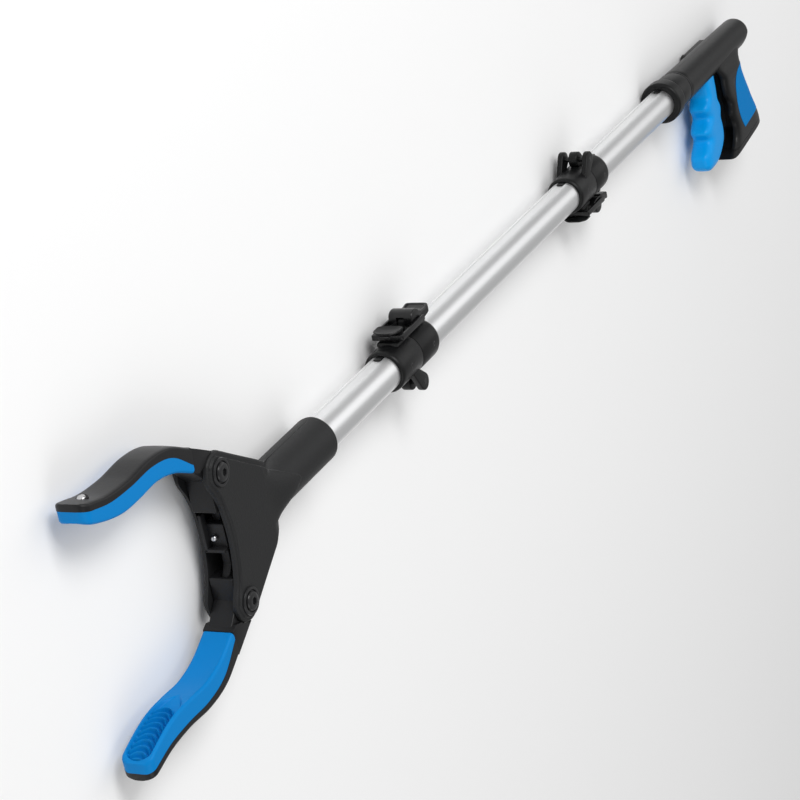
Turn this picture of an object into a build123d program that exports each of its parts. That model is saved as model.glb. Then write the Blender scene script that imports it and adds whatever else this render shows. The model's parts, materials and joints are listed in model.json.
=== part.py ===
"""Tri-fold reacher grabber, lying on its side.

Working frame: X runs along the tubes from the jaws (-X) to the handle (+X),
Y points away from the grip, Z points up from the floor.  X = 0 is the line
through both jaw pivots and Y = Z = 0 is the tube axis.  Every part is moved
by the same ROW_SHIFT when it is exported.
"""
from build123d import *
import math
import os

os.makedirs("parts", exist_ok=True)

# ---------------------------------------------------------------- driving dimensions (mm)
ROW_SHIFT = (-338.052, 3.587, 13.9)

TUBE_R = 9.5
TUBE_WALL = 1.2
GROOVE_W = 5.0
GROOVE_DEEP = 0.35

JAW_SPACING = 65.0
NECK_END = 101.0
FRONT_JOINT = 203.5
REAR_JOINT = 460.5
NOSE_START = 610.5
FLANGE_LEN = 12.0
BARREL_START = 642.0
BARREL_END = 776.0
TUBE_END = 664.0

COLLAR_R = 11.6
HOOK_COLLAR_LEN = 24.5
LEVER_COLLAR_LEN = 22.0
FACE_GAP = 0.15
LIP_LEN = 1.5
HINGE_OFFSET = 15.2
LUG_R = 4.7
LUG_CLEAR = 0.3
EYE_HALF = 2.7
EAR_IN = 6.3
EAR_OUT = 9.7
HINGE_PIN_R = 1.6

LEVER_PIVOT_DX = 7.0
LEVER_PIVOT_DY = 15.6
LEVER_PIN_R = 1.3
LEVER_HALF = 6.9
LEVER_LUG_HALF = 2.6
BAIL_OFFSET = 6.0
BAIL_Z = 8.2
BAIL_THICK = 1.4
BAIL_TALL = 3.4
BAIL_PIN_R = 1.0
HOOK_FACE = -12.0

PLATE_IN = 6.6
PLATE_OUT = 9.0
RAISED_OUT = 10.0
EAR_R = 9.8
NECK_R = 12.1
PIVOT_R = 2.6
BUSH_R = 3.6

JAW_HALF_IN = 6.2
JAW_HALF = 8.0
TAIL_HALF = 2.2
UPPER_TAIL = 18.6
LOWER_TAIL = 13.4
BLOCK_HALF = 5.0
DRIVE_R = 8.0
DRIVE_PIN_R = 1.3
DRIVE_X0 = 0.08

BARREL_R0 = 11.9
BARREL_R1 = 10.2
GRIP_HALF = 13.0
CAVITY_R = 8.7
CHANNEL_HALF = 8.3
TRIGGER_HALF = 7.9
TRIGGER_PIVOT = (695.5, 4.0)
REAR_SCREW = (729.5, 1.0)
SCREW_FACE = 11.7
TRIGGER_PIN_R = 1.8
ANCHOR = (692.0, -12.1)

CABLE_R = 0.9

JAW_Y = JAW_SPACING / 2


# ---------------------------------------------------------------- helpers
def save(part, label):
    """Move a finished part into the row frame, name it and write it."""
    placed = part.moved(Location(ROW_SHIFT))
    placed.label = label
    export_step(placed, "parts/" + label + ".step")
    return placed


def group(parts, label):
    """Write several identical separate solids as one node."""
    solids = []
    for item in parts:
        solids.extend(item.solids())
    placed = Compound(children=solids).moved(Location(ROW_SHIFT))
    placed.label = label
    export_step(placed, "parts/" + label + ".step")
    return placed


def rod_x(x0, x1, radius, y=0.0, z=0.0):
    """Round rod along X."""
    with BuildPart() as rod:
        with BuildSketch(Plane.YZ.offset(x0)):
            with Locations((y, z)):
                Circle(radius)
        extrude(amount=x1 - x0)
    return rod.part


def rod_z(x, y, z0, z1, radius):
    """Round rod along Z."""
    with BuildPart() as rod:
        with BuildSketch(Plane.XY.offset(z0)):
            with Locations((x, y)):
                Circle(radius)
        extrude(amount=z1 - z0)
    return rod.part


def domed_screw(x, y, z_face, side, shank_r, head_r, head_h, shank_end, socket_r=1.9):
    """Button-head screw along Z with a hexagon socket; side is +1 or -1."""
    rim = 0.35 * head_h
    rise = head_h - rim
    dome_r = (head_r**2 + rise**2) / (2 * rise)
    dome_mid = head_h - dome_r + math.sqrt(dome_r**2 - (0.6 * head_r) ** 2)
    with BuildPart() as screw:
        with BuildSketch(Plane.XZ.offset(-y)):
            with BuildLine():
                Polyline((x, side * z_face), (x + head_r, side * z_face))
                Line((x + head_r, side * z_face), (x + head_r, side * (z_face + rim)))
                ThreePointArc(
                    (x + head_r, side * (z_face + rim)),
                    (x + 0.6 * head_r, side * (z_face + dome_mid)),
                    (x, side * (z_face + head_h)),
                )
                Line((x, side * (z_face + head_h)), (x, side * z_face))
            make_face()
        revolve(axis=Axis((x, y, 0), (0, 0, 1)))
        low = min(side * z_face, shank_end)
        high = max(side * z_face, shank_end)
        with BuildSketch(Plane.XY.offset(low)):
            with Locations((x, y)):
                Circle(shank_r)
        extrude(amount=high - low)
        top = side * (z_face + head_h)
        with BuildSketch(Plane.XY.offset(top)):
            with Locations((x, y)):
                RegularPolygon(socket_r, 6)
        extrude(amount=-side * 0.62 * head_h, mode=Mode.SUBTRACT)
    return screw.part


# ---------------------------------------------------------------- tubes
def make_tube(x0, x1):
    """Aluminium tube with a flat-bottomed groove along its top."""
    with BuildPart() as tube:
        with BuildSketch(Plane.YZ.offset(x0)):
            Circle(TUBE_R)
            with Locations((TUBE_R, 0)):
                Rectangle(2 * GROOVE_DEEP, GROOVE_W, mode=Mode.SUBTRACT)
            Circle(TUBE_R - TUBE_WALL, mode=Mode.SUBTRACT)
        extrude(amount=x1 - x0)
    return tube.part


front_tube = save(make_tube(54.0, FRONT_JOINT - FACE_GAP - LIP_LEN), "front_tube")
middle_tube = save(
    make_tube(FRONT_JOINT + FACE_GAP + LIP_LEN, REAR_JOINT - FACE_GAP - LIP_LEN),
    "middle_tube",
)
rear_tube = save(make_tube(REAR_JOINT + FACE_GAP + LIP_LEN, TUBE_END), "rear_tube")


# ---------------------------------------------------------------- fold joints
def lug_blank(joint, side, hinge, z0, z1, foot):
    """Hinge lug: round eye on the pin standing upright on its own collar."""
    with BuildPart() as lug:
        with BuildSketch(Plane.XY.offset(z0)):
            with Locations((joint, hinge * HINGE_OFFSET)):
                Circle(LUG_R)
            with Locations((joint + side * 9.5, hinge * foot)):
                Circle(1.2)
            with Locations((joint + side * 3.0, hinge * foot)):
                Circle(1.2)
            make_hull()
            with Locations((joint - side * (20.0 - FACE_GAP), hinge * HINGE_OFFSET)):
                Rectangle(40.0, 40.0, mode=Mode.SUBTRACT)
            with Locations((joint, hinge * HINGE_OFFSET)):
                Circle(LUG_R)
        extrude(amount=z1 - z0)
    return lug.part


def make_collar(joint, side, hinge):
    """Collar on one side of a fold joint.

    side -1 is the jaw side (carries the hook and two hinge eyes), side +1 is
    the handle side (carries the lever lug and the middle hinge eye).
    """
    near = joint + side * FACE_GAP
    length = HOOK_COLLAR_LEN if side < 0 else LEVER_COLLAR_LEN
    far = joint + side * length
    latch = -hinge
    with BuildPart() as collar:
        with BuildSketch(Plane.YZ.offset(near)):
            Circle(COLLAR_R)
        extrude(amount=side * (length - FACE_GAP - 2.2))
        with BuildSketch(Plane.YZ.offset(far - side * 2.2)):
            Circle(COLLAR_R)
        extrude(amount=side * 2.2, taper=20)
        if side < 0:
            add(lug_blank(joint, side, hinge, EAR_IN, EAR_OUT, 6.6))
            add(lug_blank(joint, side, hinge, -EAR_OUT, -EAR_IN, 6.6))
            face = joint + HOOK_FACE
            with BuildSketch(Plane.XY.offset(-5.8)):
                with BuildLine():
                    Polyline(
                        (face, latch * 10.4),
                        (face, latch * 17.2),
                        (face + 5.0, latch * 17.8),
                        (face + 6.8, latch * 12.0),
                        (face + 6.8, latch * 10.4),
                        close=True,
                    )
                make_face()
            extrude(amount=11.6)
            with BuildSketch(Plane.XY.offset(-7.0)):
                with BuildLine():
                    Polyline(
                        (face - 5.0, latch * 18.0),
                        (face - 3.4, latch * 17.0),
                        (face + 3.6, latch * 16.9),
                        (face + 5.2, latch * 17.7),
                        (face + 4.4, latch * 18.8),
                        (face - 3.0, latch * 19.1),
                        close=True,
                    )
                make_face()
            extrude(amount=14.0)
        else:
            add(lug_blank(joint, side, hinge, -EYE_HALF, EYE_HALF, 9.6))
            with BuildSketch(Plane.XY.offset(-LEVER_LUG_HALF)):
                with Locations((joint + LEVER_PIVOT_DX, latch * LEVER_PIVOT_DY)):
                    Circle(3.0)
                with Locations(
                    (joint + LEVER_PIVOT_DX - 3.0, latch * 9.6),
                    (joint + LEVER_PIVOT_DX + 3.0, latch * 9.6),
                ):
                    Circle(0.8)
                make_hull()
            extrude(amount=2 * LEVER_LUG_HALF)
            with BuildSketch(Plane.XY.offset(-LEVER_HALF)):
                with Locations((joint + LEVER_PIVOT_DX, latch * LEVER_PIVOT_DY)):
                    Circle(LEVER_PIN_R)
            extrude(amount=2 * LEVER_HALF, mode=Mode.SUBTRACT)
        if side < 0:
            pockets = ((-EYE_HALF - LUG_CLEAR, EYE_HALF + LUG_CLEAR),)
        else:
            pockets = ((EAR_IN - LUG_CLEAR, EAR_OUT + 0.4), (-EAR_OUT - 0.4, -EAR_IN + LUG_CLEAR))
        for z0, z1 in pockets:
            with BuildSketch(Plane.XY.offset(z0)):
                with Locations((joint, hinge * HINGE_OFFSET)):
                    Circle(LUG_R + LUG_CLEAR)
            extrude(amount=z1 - z0, mode=Mode.SUBTRACT)
        with BuildSketch(Plane.XY.offset(-EAR_OUT)):
            with Locations((joint, hinge * HINGE_OFFSET)):
                Circle(HINGE_PIN_R + (0.0 if side < 0 else 0.05))
        extrude(amount=2 * EAR_OUT, mode=Mode.SUBTRACT)
        with BuildSketch(Plane.YZ.offset(far)):
            Circle(TUBE_R)
            with Locations((TUBE_R, 0)):
                Rectangle(2 * GROOVE_DEEP, GROOVE_W, mode=Mode.SUBTRACT)
        extrude(amount=-side * (length - FACE_GAP - LIP_LEN), mode=Mode.SUBTRACT)
        with BuildSketch(Plane.YZ.offset(near)):
            Circle(TUBE_R - TUBE_WALL - 0.6)
        extrude(amount=side * LIP_LEN, mode=Mode.SUBTRACT)
        for z_side in (1, -1):
            with BuildSketch(Plane.XY.offset(z_side * TUBE_R * 0.6)):
                with Locations((joint + side * 14.0, 0)):
                    Circle(1.1)
            extrude(amount=z_side * 8.0, mode=Mode.SUBTRACT)
    return collar.part


def collar_rivets(joint, side):
    """Two small rivets that hold a collar to its tube."""
    rivets = []
    for z_side in (1, -1):
        base = z_side * (TUBE_R + 0.02)
        tip = base + z_side * 1.5
        rivets.append(rod_z(joint + side * 14.0, 0, min(base, tip), max(base, tip), 1.1))
    return rivets


front_hook_collar = save(make_collar(FRONT_JOINT, -1, -1), "front_hook_collar")
front_lever_collar = save(make_collar(FRONT_JOINT, 1, -1), "front_lever_collar")
rear_hook_collar = save(make_collar(REAR_JOINT, -1, 1), "rear_hook_collar")
rear_lever_collar = save(make_collar(REAR_JOINT, 1, 1), "rear_lever_collar")
front_tube_rivets = group(collar_rivets(FRONT_JOINT, -1), "front_tube_rivets")
middle_tube_rivets = group(
    collar_rivets(FRONT_JOINT, 1) + collar_rivets(REAR_JOINT, -1), "middle_tube_rivets"
)
rear_tube_rivets = group(collar_rivets(REAR_JOINT, 1), "rear_tube_rivets")
front_hinge_pin = save(
    rod_z(FRONT_JOINT, -HINGE_OFFSET, -EAR_OUT, EAR_OUT, HINGE_PIN_R), "front_hinge_pin"
)
rear_hinge_pin = save(
    rod_z(REAR_JOINT, HINGE_OFFSET, -EAR_OUT, EAR_OUT, HINGE_PIN_R), "rear_hinge_pin"
)


# Lever outline from its pivot: first number towards the handle, second outwards.
LEVER_ROLL = (
    (-3.2, -1.4),
    (-3.5, 3.0),
    (-1.8, 5.5),
    (1.6, 6.3),
    (4.8, 5.3),
    (6.6, 2.8),
    (7.4, -1.0),
    (6.0, -2.4),
    (0.6, -2.9),
)
LEVER_PAD = (
    (5.0, -2.2),
    (5.4, 1.2),
    (8.6, 2.6),
    (14.0, 2.4),
    (18.4, 3.0),
    (19.2, 1.6),
    (18.4, -0.8),
    (14.0, -2.3),
    (8.0, -2.9),
)


def make_lever(joint, latch):
    """Over-centre latch lever: a wide rounded block with a finger pad behind it."""
    px = joint + LEVER_PIVOT_DX
    py = LEVER_PIVOT_DY
    with BuildPart() as lever:
        for outline in (LEVER_ROLL, LEVER_PAD):
            with BuildSketch(Plane.XY.offset(-LEVER_HALF)):
                with BuildLine():
                    Polyline(*[(px + a, latch * (py + b)) for a, b in outline], close=True)
                make_face()
            extrude(amount=2 * LEVER_HALF)
        with BuildSketch(Plane.XY.offset(-LEVER_LUG_HALF - 0.3)):
            with Locations((px - 3.2, latch * (py - 0.9))):
                Rectangle(13.8, 10.2)
        extrude(amount=2 * LEVER_LUG_HALF + 0.6, mode=Mode.SUBTRACT)
        with BuildSketch(Plane.XY.offset(-10.0)):
            with Locations((px, latch * py)):
                Circle(LEVER_PIN_R + 0.05)
            with Locations((px + BAIL_OFFSET, latch * (py - 0.6))):
                Circle(BAIL_PIN_R + 0.05)
        extrude(amount=20.0, mode=Mode.SUBTRACT)
    return lever.part


def make_bail(joint, latch):
    """Flat loop from the lever to the hook."""
    qx = joint + LEVER_PIVOT_DX + BAIL_OFFSET
    qy = latch * (LEVER_PIVOT_DY - 0.6)
    bx = joint + HOOK_FACE - BAIL_THICK / 2 - 0.3
    by = latch * 14.9
    length = math.hypot(qx - bx, qy - by)
    half = BAIL_THICK / 2
    with BuildPart() as bail:
        for z_side in (1, -1):
            side_plane = Plane(
                origin=(qx, qy, z_side * BAIL_Z), x_dir=(0, 0, 1), z_dir=(bx - qx, by - qy, 0)
            )
            with BuildSketch(side_plane):
                Rectangle(BAIL_THICK, BAIL_TALL)
            extrude(amount=length)
            with BuildSketch(Plane.XY.offset(z_side * BAIL_Z - half)):
                with Locations((qx, qy)):
                    Circle(BAIL_TALL / 2)
            extrude(amount=BAIL_THICK)
            with BuildSketch(Plane.XY.offset(z_side * BAIL_Z)):
                with Locations((qx, qy)):
                    Circle(BAIL_PIN_R)
            extrude(amount=-z_side * (BAIL_Z - 4.2))
        with BuildSketch(Plane.XY.offset(-BAIL_Z - half)):
            with Locations((bx, by)):
                Rectangle(BAIL_THICK, BAIL_TALL)
        extrude(amount=2 * BAIL_Z + BAIL_THICK)
    return bail.part


for name, joint, latch in (("front", FRONT_JOINT, 1), ("rear", REAR_JOINT, -1)):
    save(make_lever(joint, latch), name + "_latch_lever")
    save(make_bail(joint, latch), name + "_latch_bail")
    save(
        rod_z(joint + LEVER_PIVOT_DX, latch * LEVER_PIVOT_DY, -6.6, 6.6, LEVER_PIN_R),
        name + "_lever_pin",
    )

# ---------------------------------------------------------------- pull cable
front_cable = save(rod_x(12.0, FRONT_JOINT - 0.5, CABLE_R), "front_cable")
middle_cable = save(rod_x(FRONT_JOINT + 0.5, REAR_JOINT - 0.5, CABLE_R), "middle_cable")
rear_cable = save(rod_x(REAR_JOINT + 0.5, 679.0, CABLE_R), "rear_cable")


# ---------------------------------------------------------------- head shells
def head_outline(inset, tip):
    """Edges of the head plate: two ears, hollow mouth and the taper to the neck."""
    ear = EAR_R - inset
    slope = math.atan2(JAW_Y - 12.3, 46.0)
    side_x = ear * math.sin(slope)
    side_y = ear * math.cos(slope)
    mouth = -1.3 + inset
    with BuildLine() as outline:
        ThreePointArc((mouth + 1.0 - 6.2, 24.0), (mouth, 0), (mouth + 1.0 - 6.2, -24.0))
        for sign in (1, -1):
            start = (mouth + 1.0 - 6.2, sign * 24.0)
            ThreePointArc(
                start,
                (-ear * 0.93, sign * (JAW_Y - ear * 0.36)),
                (-ear * 0.80, sign * (JAW_Y + ear * 0.60)),
            )
            ThreePointArc(
                (-ear * 0.80, sign * (JAW_Y + ear * 0.60)),
                (-0.05 * ear, sign * (JAW_Y + ear * 0.9987)),
                (side_x, sign * (JAW_Y + side_y)),
            )
            Line((side_x, sign * (JAW_Y + side_y)), (tip[0], sign * tip[1]))
        Line((tip[0], tip[1]), (tip[0], -tip[1]))
    return outline.line


def make_head_shell(side):
    """Half of the head: plate, raised face, side walls and half of the neck."""
    with BuildPart() as shell:
        with BuildSketch(Plane.XY.offset(side * PLATE_IN)):
            with BuildLine():
                add(head_outline(0.0, (50.0, NECK_R - 0.2)))
            make_face()
        extrude(amount=side * (PLATE_OUT - PLATE_IN))
        with BuildSketch(Plane.XY.offset(side * (PLATE_OUT - 0.05))):
            with BuildLine():
                add(head_outline(1.8, (59.0, 2.5)))
            make_face()
        extrude(amount=side * (RAISED_OUT - PLATE_OUT + 0.05))
        with BuildSketch(Plane.XY):
            for sign in (1, -1):
                with BuildLine():
                    Polyline(
                        (16.0, sign * 33.6),
                        (52.0, sign * (NECK_R - 0.2)),
                        (52.0, sign * (NECK_R - 3.4)),
                        (44.0, sign * (NECK_R - 1.0)),
                        (16.0, sign * 29.2),
                        close=True,
                    )
                make_face()
        extrude(amount=side * (PLATE_IN + 0.5))
        with BuildSketch(Plane.YZ.offset(44.0)):
            Circle(NECK_R)
            with Locations((0, -side * 20.0)):
                Rectangle(60.0, 40.0, mode=Mode.SUBTRACT)
        extrude(amount=NECK_END - 44.0)
        with BuildSketch(Plane.YZ.offset(30.0)):
            Circle(TUBE_R)
        extrude(amount=NECK_END - 30.0, mode=Mode.SUBTRACT)
        with BuildSketch(Plane.YZ.offset(52.0)):
            Circle(TUBE_R)
            Circle(TUBE_R - 2.4, mode=Mode.SUBTRACT)
            with Locations((0, -side * 20.0)):
                Rectangle(60.0, 40.0, mode=Mode.SUBTRACT)
        extrude(amount=2.0)
        with BuildSketch(Plane.XY):
            for sign in (1, -1):
                with Locations((0, sign * JAW_Y)):
                    Circle(PIVOT_R)
        extrude(amount=side * 20.0, mode=Mode.SUBTRACT)
    return shell.part


head_shell_front = save(make_head_shell(1), "head_shell_front")
head_shell_rear = save(make_head_shell(-1), "head_shell_rear")

jaw_screws = []
jaw_nuts = []
jaw_bushes = []
for sign in (1, -1):
    jaw_screws.append(
        domed_screw(0, sign * JAW_Y, RAISED_OUT, 1, PIVOT_R, 6.6, 2.2, -RAISED_OUT, 2.2)
    )
    with BuildPart() as nut:
        with BuildSketch(Plane.XY.offset(-RAISED_OUT)):
            with Locations((0, sign * JAW_Y)):
                Circle(6.6)
                Circle(PIVOT_R, mode=Mode.SUBTRACT)
        extrude(amount=-2.2, taper=12)
        with BuildSketch(Plane.XY.offset(-RAISED_OUT - 2.2)):
            with Locations((0, sign * JAW_Y)):
                RegularPolygon(3.0, 6)
        extrude(amount=1.2, mode=Mode.SUBTRACT)
    jaw_nuts.append(nut.part)
    with BuildPart() as bush:
        with BuildSketch(Plane.XY.offset(-PLATE_IN + 0.02)):
            with Locations((0, sign * JAW_Y)):
                Circle(BUSH_R)
                Circle(PIVOT_R, mode=Mode.SUBTRACT)
        extrude(amount=2 * PLATE_IN - 0.04)
    jaw_bushes.append(bush.part)
group(jaw_screws, "jaw_pivot_screws")
group(jaw_nuts, "jaw_pivot_nuts")
group(jaw_bushes, "jaw_pivot_bushes")

# ---------------------------------------------------------------- jaws
# Curves are given from the pivot: first number towards the tip, second outwards.
JAW_OUTER = ((3.0, 8.4), (15.0, 19.0), (30.0, 26.6), (46.0, 29.0), (64.0, 28.0), (80.0, 29.0), (92.0, 31.8))
JAW_SPLIT = ((15.6, 11.0), (30.0, 21.6), (46.0, 25.2), (64.0, 24.8), (80.0, 25.6), (92.6, 28.4))
JAW_INNER = ((15.6, 7.0), (30.0, 14.0), (44.0, 17.0), (58.0, 16.4), (70.0, 16.3), (80.0, 17.9), (92.0, 21.6))
TIP_X = 98.0
TIP_OUTER = 33.2
TIP_SPLIT = 29.8
TIP_INNER = 24.8


def jaw_points(points, sign):
    return [(-along, sign * (JAW_Y + out)) for along, out in points]


def make_jaw_arm(sign):
    """Back of one jaw with its hub and the slotted tail."""
    outer = jaw_points(JAW_OUTER, sign)
    split = jaw_points(JAW_SPLIT, sign)
    with BuildPart() as arm:
        with BuildSketch(Plane.XY.offset(-JAW_HALF)):
            with BuildLine():
                Spline(*outer[1:])
                Line(outer[-1], (-TIP_X, sign * (JAW_Y + TIP_OUTER)))
                Line((-TIP_X, sign * (JAW_Y + TIP_OUTER)), (-TIP_X - 0.4, sign * (JAW_Y + TIP_SPLIT)))
                Line((-TIP_X - 0.4, sign * (JAW_Y + TIP_SPLIT)), split[-1])
                Spline(*split)
                Line(split[0], outer[1])
            make_face()
        extrude(amount=2 * JAW_HALF)
        with BuildSketch(Plane.XY.offset(-JAW_HALF_IN)):
            with Locations((0, sign * JAW_Y)):
                Circle(5.2)
            with Locations((-13.2, sign * (JAW_Y + 9.4))):
                Circle(3.2)
            with Locations((-7.0, sign * (JAW_Y + 8.6))):
                Circle(3.6)
            make_hull()
            with BuildLine():
                Polyline(
                    (-8.0, sign * (JAW_Y + 4.0)),
                    (-15.6, sign * (JAW_Y + 6.4)),
                    (-18.0, sign * (JAW_Y + 13.0)),
                    (-18.0, sign * (JAW_Y + 17.6)),
                    (-8.0, sign * (JAW_Y + 12.0)),
                    close=True,
                )
            make_face()
        extrude(amount=2 * JAW_HALF_IN)
        tail = UPPER_TAIL if sign > 0 else LOWER_TAIL
        with BuildSketch(Plane.XY.offset(-JAW_HALF_IN)):
            with Locations((0, sign * JAW_Y)):
                Circle(5.2)
            with Locations((-0.9, sign * (JAW_Y - tail + 2.5))):
                Rectangle(8.2, 5.0)
            make_hull()
        extrude(amount=2 * JAW_HALF_IN)
        with BuildSketch(Plane.XY.offset(-TAIL_HALF - 0.4)):
            with Locations((4.0, sign * (JAW_Y - 15.3))):
                Rectangle(14.0, 20.0)
        extrude(amount=2 * TAIL_HALF + 0.8, mode=Mode.SUBTRACT)
        with BuildSketch(Plane.XY.offset(-JAW_HALF)):
            with Locations((0, sign * JAW_Y)):
                Circle(BUSH_R + 0.05)
            with Locations((DRIVE_X0, sign * (JAW_Y - DRIVE_R - 0.75))):
                SlotCenterToCenter(2.2, 2 * (DRIVE_PIN_R + 0.32), rotation=90)
        extrude(amount=2 * JAW_HALF, mode=Mode.SUBTRACT)
    return arm.part


def make_jaw_pad(sign):
    """Rubber pad along the inside of one jaw."""
    inner = jaw_points(JAW_INNER, sign)
    split = jaw_points(JAW_SPLIT, sign)
    with BuildPart() as pad:
        with BuildSketch(Plane.XY.offset(-JAW_HALF)):
            with BuildLine():
                Spline(*split)
                Line(split[-1], (-TIP_X - 0.4, sign * (JAW_Y + TIP_SPLIT)))
                Line((-TIP_X - 0.4, sign * (JAW_Y + TIP_SPLIT)), (-TIP_X - 1.0, sign * (JAW_Y + TIP_INNER)))
                Line((-TIP_X - 1.0, sign * (JAW_Y + TIP_INNER)), inner[-1])
                Spline(*inner)
                Line(inner[0], split[0])
            make_face()
        extrude(amount=2 * JAW_HALF)
        with BuildSketch(Plane.XY.offset(-JAW_HALF_IN - 0.02)):
            with BuildLine():
                Polyline(
                    (-8.0, sign * (JAW_Y + 4.0)),
                    (-15.6, sign * (JAW_Y + 6.4)),
                    (-18.0, sign * (JAW_Y + 13.0)),
                    (-18.0, sign * (JAW_Y + 17.6)),
                    (-8.0, sign * (JAW_Y + 12.0)),
                    close=True,
                )
            make_face()
        extrude(amount=2 * JAW_HALF_IN + 0.04, mode=Mode.SUBTRACT)
    return pad.part


def make_magnet(sign):
    """Disc magnet set in the back of the jaw near its tip."""
    spot = (-88.0, sign * (JAW_Y + 30.2))
    normal = (-0.23, sign * 0.973, 0)
    with BuildPart() as magnet:
        with BuildSketch(Plane(origin=(spot[0], spot[1], 0), z_dir=normal)):
            Circle(3.0)
        extrude(amount=2.0)
    return magnet.part


for name, sign in (("upper", 1), ("lower", -1)):
    magnet = make_magnet(sign)
    save(make_jaw_arm(sign) - magnet, name + "_jaw_arm")
    save(make_jaw_pad(sign), name + "_jaw_pad")
    save(magnet, name + "_jaw_magnet")

# ---------------------------------------------------------------- pull block in the head
drive_y = JAW_Y - DRIVE_R
with BuildPart() as pull_block:
    for sign in (1, -1):
        with BuildSketch(Plane.XY.offset(-TAIL_HALF)):
            with BuildLine():
                Polyline(
                    (-2.0, sign * drive_y),
                    (-2.0, sign * 23.2),
                    (3.4, sign * 16.0),
                    (3.4, 0),
                    (8.6, 0),
                    (8.6, sign * 17.0),
                    (2.4, sign * 23.5),
                    (2.4, sign * drive_y),
                    close=True,
                )
            make_face()
            with Locations((0, sign * drive_y)):
                Circle(2.4)
        extrude(amount=2 * TAIL_HALF)
    with BuildSketch(Plane.XY.offset(-BLOCK_HALF)):
        with Locations((6.75, 0)):
            Rectangle(14.5, 13.0)
        with Locations((-2.2, -5.7)):
            Rectangle(3.6, 1.6)
    extrude(amount=2 * BLOCK_HALF)
    with BuildSketch(Plane.XY.offset(-BLOCK_HALF)):
        with Locations((-2.2, 0)):
            Rectangle(3.6, 13.0)
    extrude(amount=1.4)
    with BuildSketch(Plane.YZ.offset(3.0)):
        Circle(CABLE_R + 0.4)
    extrude(amount=14.0, mode=Mode.SUBTRACT)
    with BuildSketch(Plane.XY.offset(-6.0)):
        with Locations((DRIVE_X0, drive_y), (DRIVE_X0, -drive_y)):
            Circle(DRIVE_PIN_R)
    extrude(amount=12.0, mode=Mode.SUBTRACT)
save(pull_block.part, "pull_block")
group(
    [rod_z(DRIVE_X0, s * drive_y, -5.6, 5.6, DRIVE_PIN_R) for s in (1, -1)],
    "drive_pins",
)
with BuildPart() as cable_ball:
    with Locations((-2.1, 0, 0)):
        Sphere(2.2)
    with BuildSketch(Plane.YZ.offset(-0.52)):
        Circle(1.5)
    extrude(amount=-1.2)
    with BuildSketch(Plane.YZ.offset(-0.52)):
        Circle(6.0)
    extrude(amount=10.0, mode=Mode.SUBTRACT)
save(cable_ball.part, "cable_ball")

# ---------------------------------------------------------------- handle
with BuildPart() as nose_ring:
    with BuildSketch(Plane.XY):
        with BuildLine():
            Polyline(
                (NOSE_START, TUBE_R),
                (NOSE_START, 12.6),
                (NOSE_START + 1.4, 13.9),
                (NOSE_START + FLANGE_LEN - 2.4, 13.9),
                (NOSE_START + FLANGE_LEN - 0.4, 13.0),
                (NOSE_START + FLANGE_LEN, 12.4),
                (BARREL_START - 1.6, 12.3),
                (BARREL_START - 0.6, 12.0),
                (BARREL_START - 0.6, TUBE_R),
                close=True,
            )
        make_face()
    revolve(axis=Axis.X)
    with BuildSketch(Plane.YZ.offset(NOSE_START)):
        with Locations((TUBE_R - GROOVE_DEEP / 2, 0)):
            Rectangle(GROOVE_DEEP, GROOVE_W - 0.1)
    extrude(amount=30.0)
save(nose_ring.part, "nose_ring")

# Side view of the grip; the front edge of the cheeks follows the trigger's scallops.
GRIP_REAR = (
    (756.0, -4.0),
    (749.0, -9.0),
    (746.5, -15.0),
    (750.0, -24.0),
    (760.0, -41.0),
    (771.0, -57.0),
    (774.0, -64.5),
)
GRIP_FRONT = (
    (704.0, -72.0),
    (711.5, -65.6),
    (716.5, -59.7),
    (718.2, -51.0),
    (714.4, -42.0),
    (714.4, -34.3),
    (709.0, -26.5),
    (707.0, -20.0),
    (706.0, -13.5),
    (700.0, -6.0),
)
INSERT_FRONT = (
    (742.0, -13.0),
    (731.0, -16.0),
    (724.5, -22.5),
    (722.5, -33.0),
    (723.5, -42.5),
    (727.0, -51.0),
    (731.5, -57.5),
)
BUTT_CUT = ((690.0, -90.0), (790.0, -90.0), (790.0, -58.8), (690.0, -69.5))
CHANNEL = (
    (676.0, 0.0),
    (722.0, 0.0),
    (724.0, -12.0),
    (727.5, -30.0),
    (728.5, -48.0),
    (728.5, -56.0),
    (722.0, -63.5),
    (712.0, -67.5),
    (704.0, -70.5),
    (690.0, -78.0),
    (650.0, -80.0),
    (650.0, -14.0),
    (676.0, -13.5),
)
CORE_X = 731.0
CORE_HALF = 10.0


def grip_block():
    """Solid grip with rounded flanks."""
    with BuildPart() as block:
        with BuildSketch(Plane.XY.offset(-GRIP_HALF)):
            with BuildLine():
                Spline(*GRIP_REAR)
                Line(GRIP_REAR[-1], GRIP_FRONT[0])
                Spline(*GRIP_FRONT)
                Line(GRIP_FRONT[-1], GRIP_REAR[0])
            make_face()
        extrude(amount=2 * GRIP_HALF)
        flank = [e for e in block.edges() if abs(abs(e.center().Z) - GRIP_HALF) < 0.01]
        fillet([e for e in flank if e.center().X < 720.0], 1.6)
        flank = [e for e in block.edges() if abs(abs(e.center().Z) - GRIP_HALF) < 0.01]
        fillet([e for e in flank if e.center().X > 745.0 and e.length > 60.0], 5.0)
    return block.part


def insert_region():
    """Space taken by the rubber insert: the whole rear, and thin panels beside the channel."""
    with BuildPart() as region:
        with BuildSketch(Plane.XY.offset(-20.0)):
            with BuildLine():
                Spline(*INSERT_FRONT)
                Polyline(INSERT_FRONT[-1], (770.0, -52.5), (792.0, -44.0), (766.0, -13.0), INSERT_FRONT[0])
            make_face()
        extrude(amount=40.0)
        with BuildSketch(Plane.XY.offset(-CORE_HALF)):
            with Locations((CORE_X - 20.0, -35.0)):
                Rectangle(40.0, 60.0)
        extrude(amount=2 * CORE_HALF, mode=Mode.SUBTRACT)
    return region.part


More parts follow.
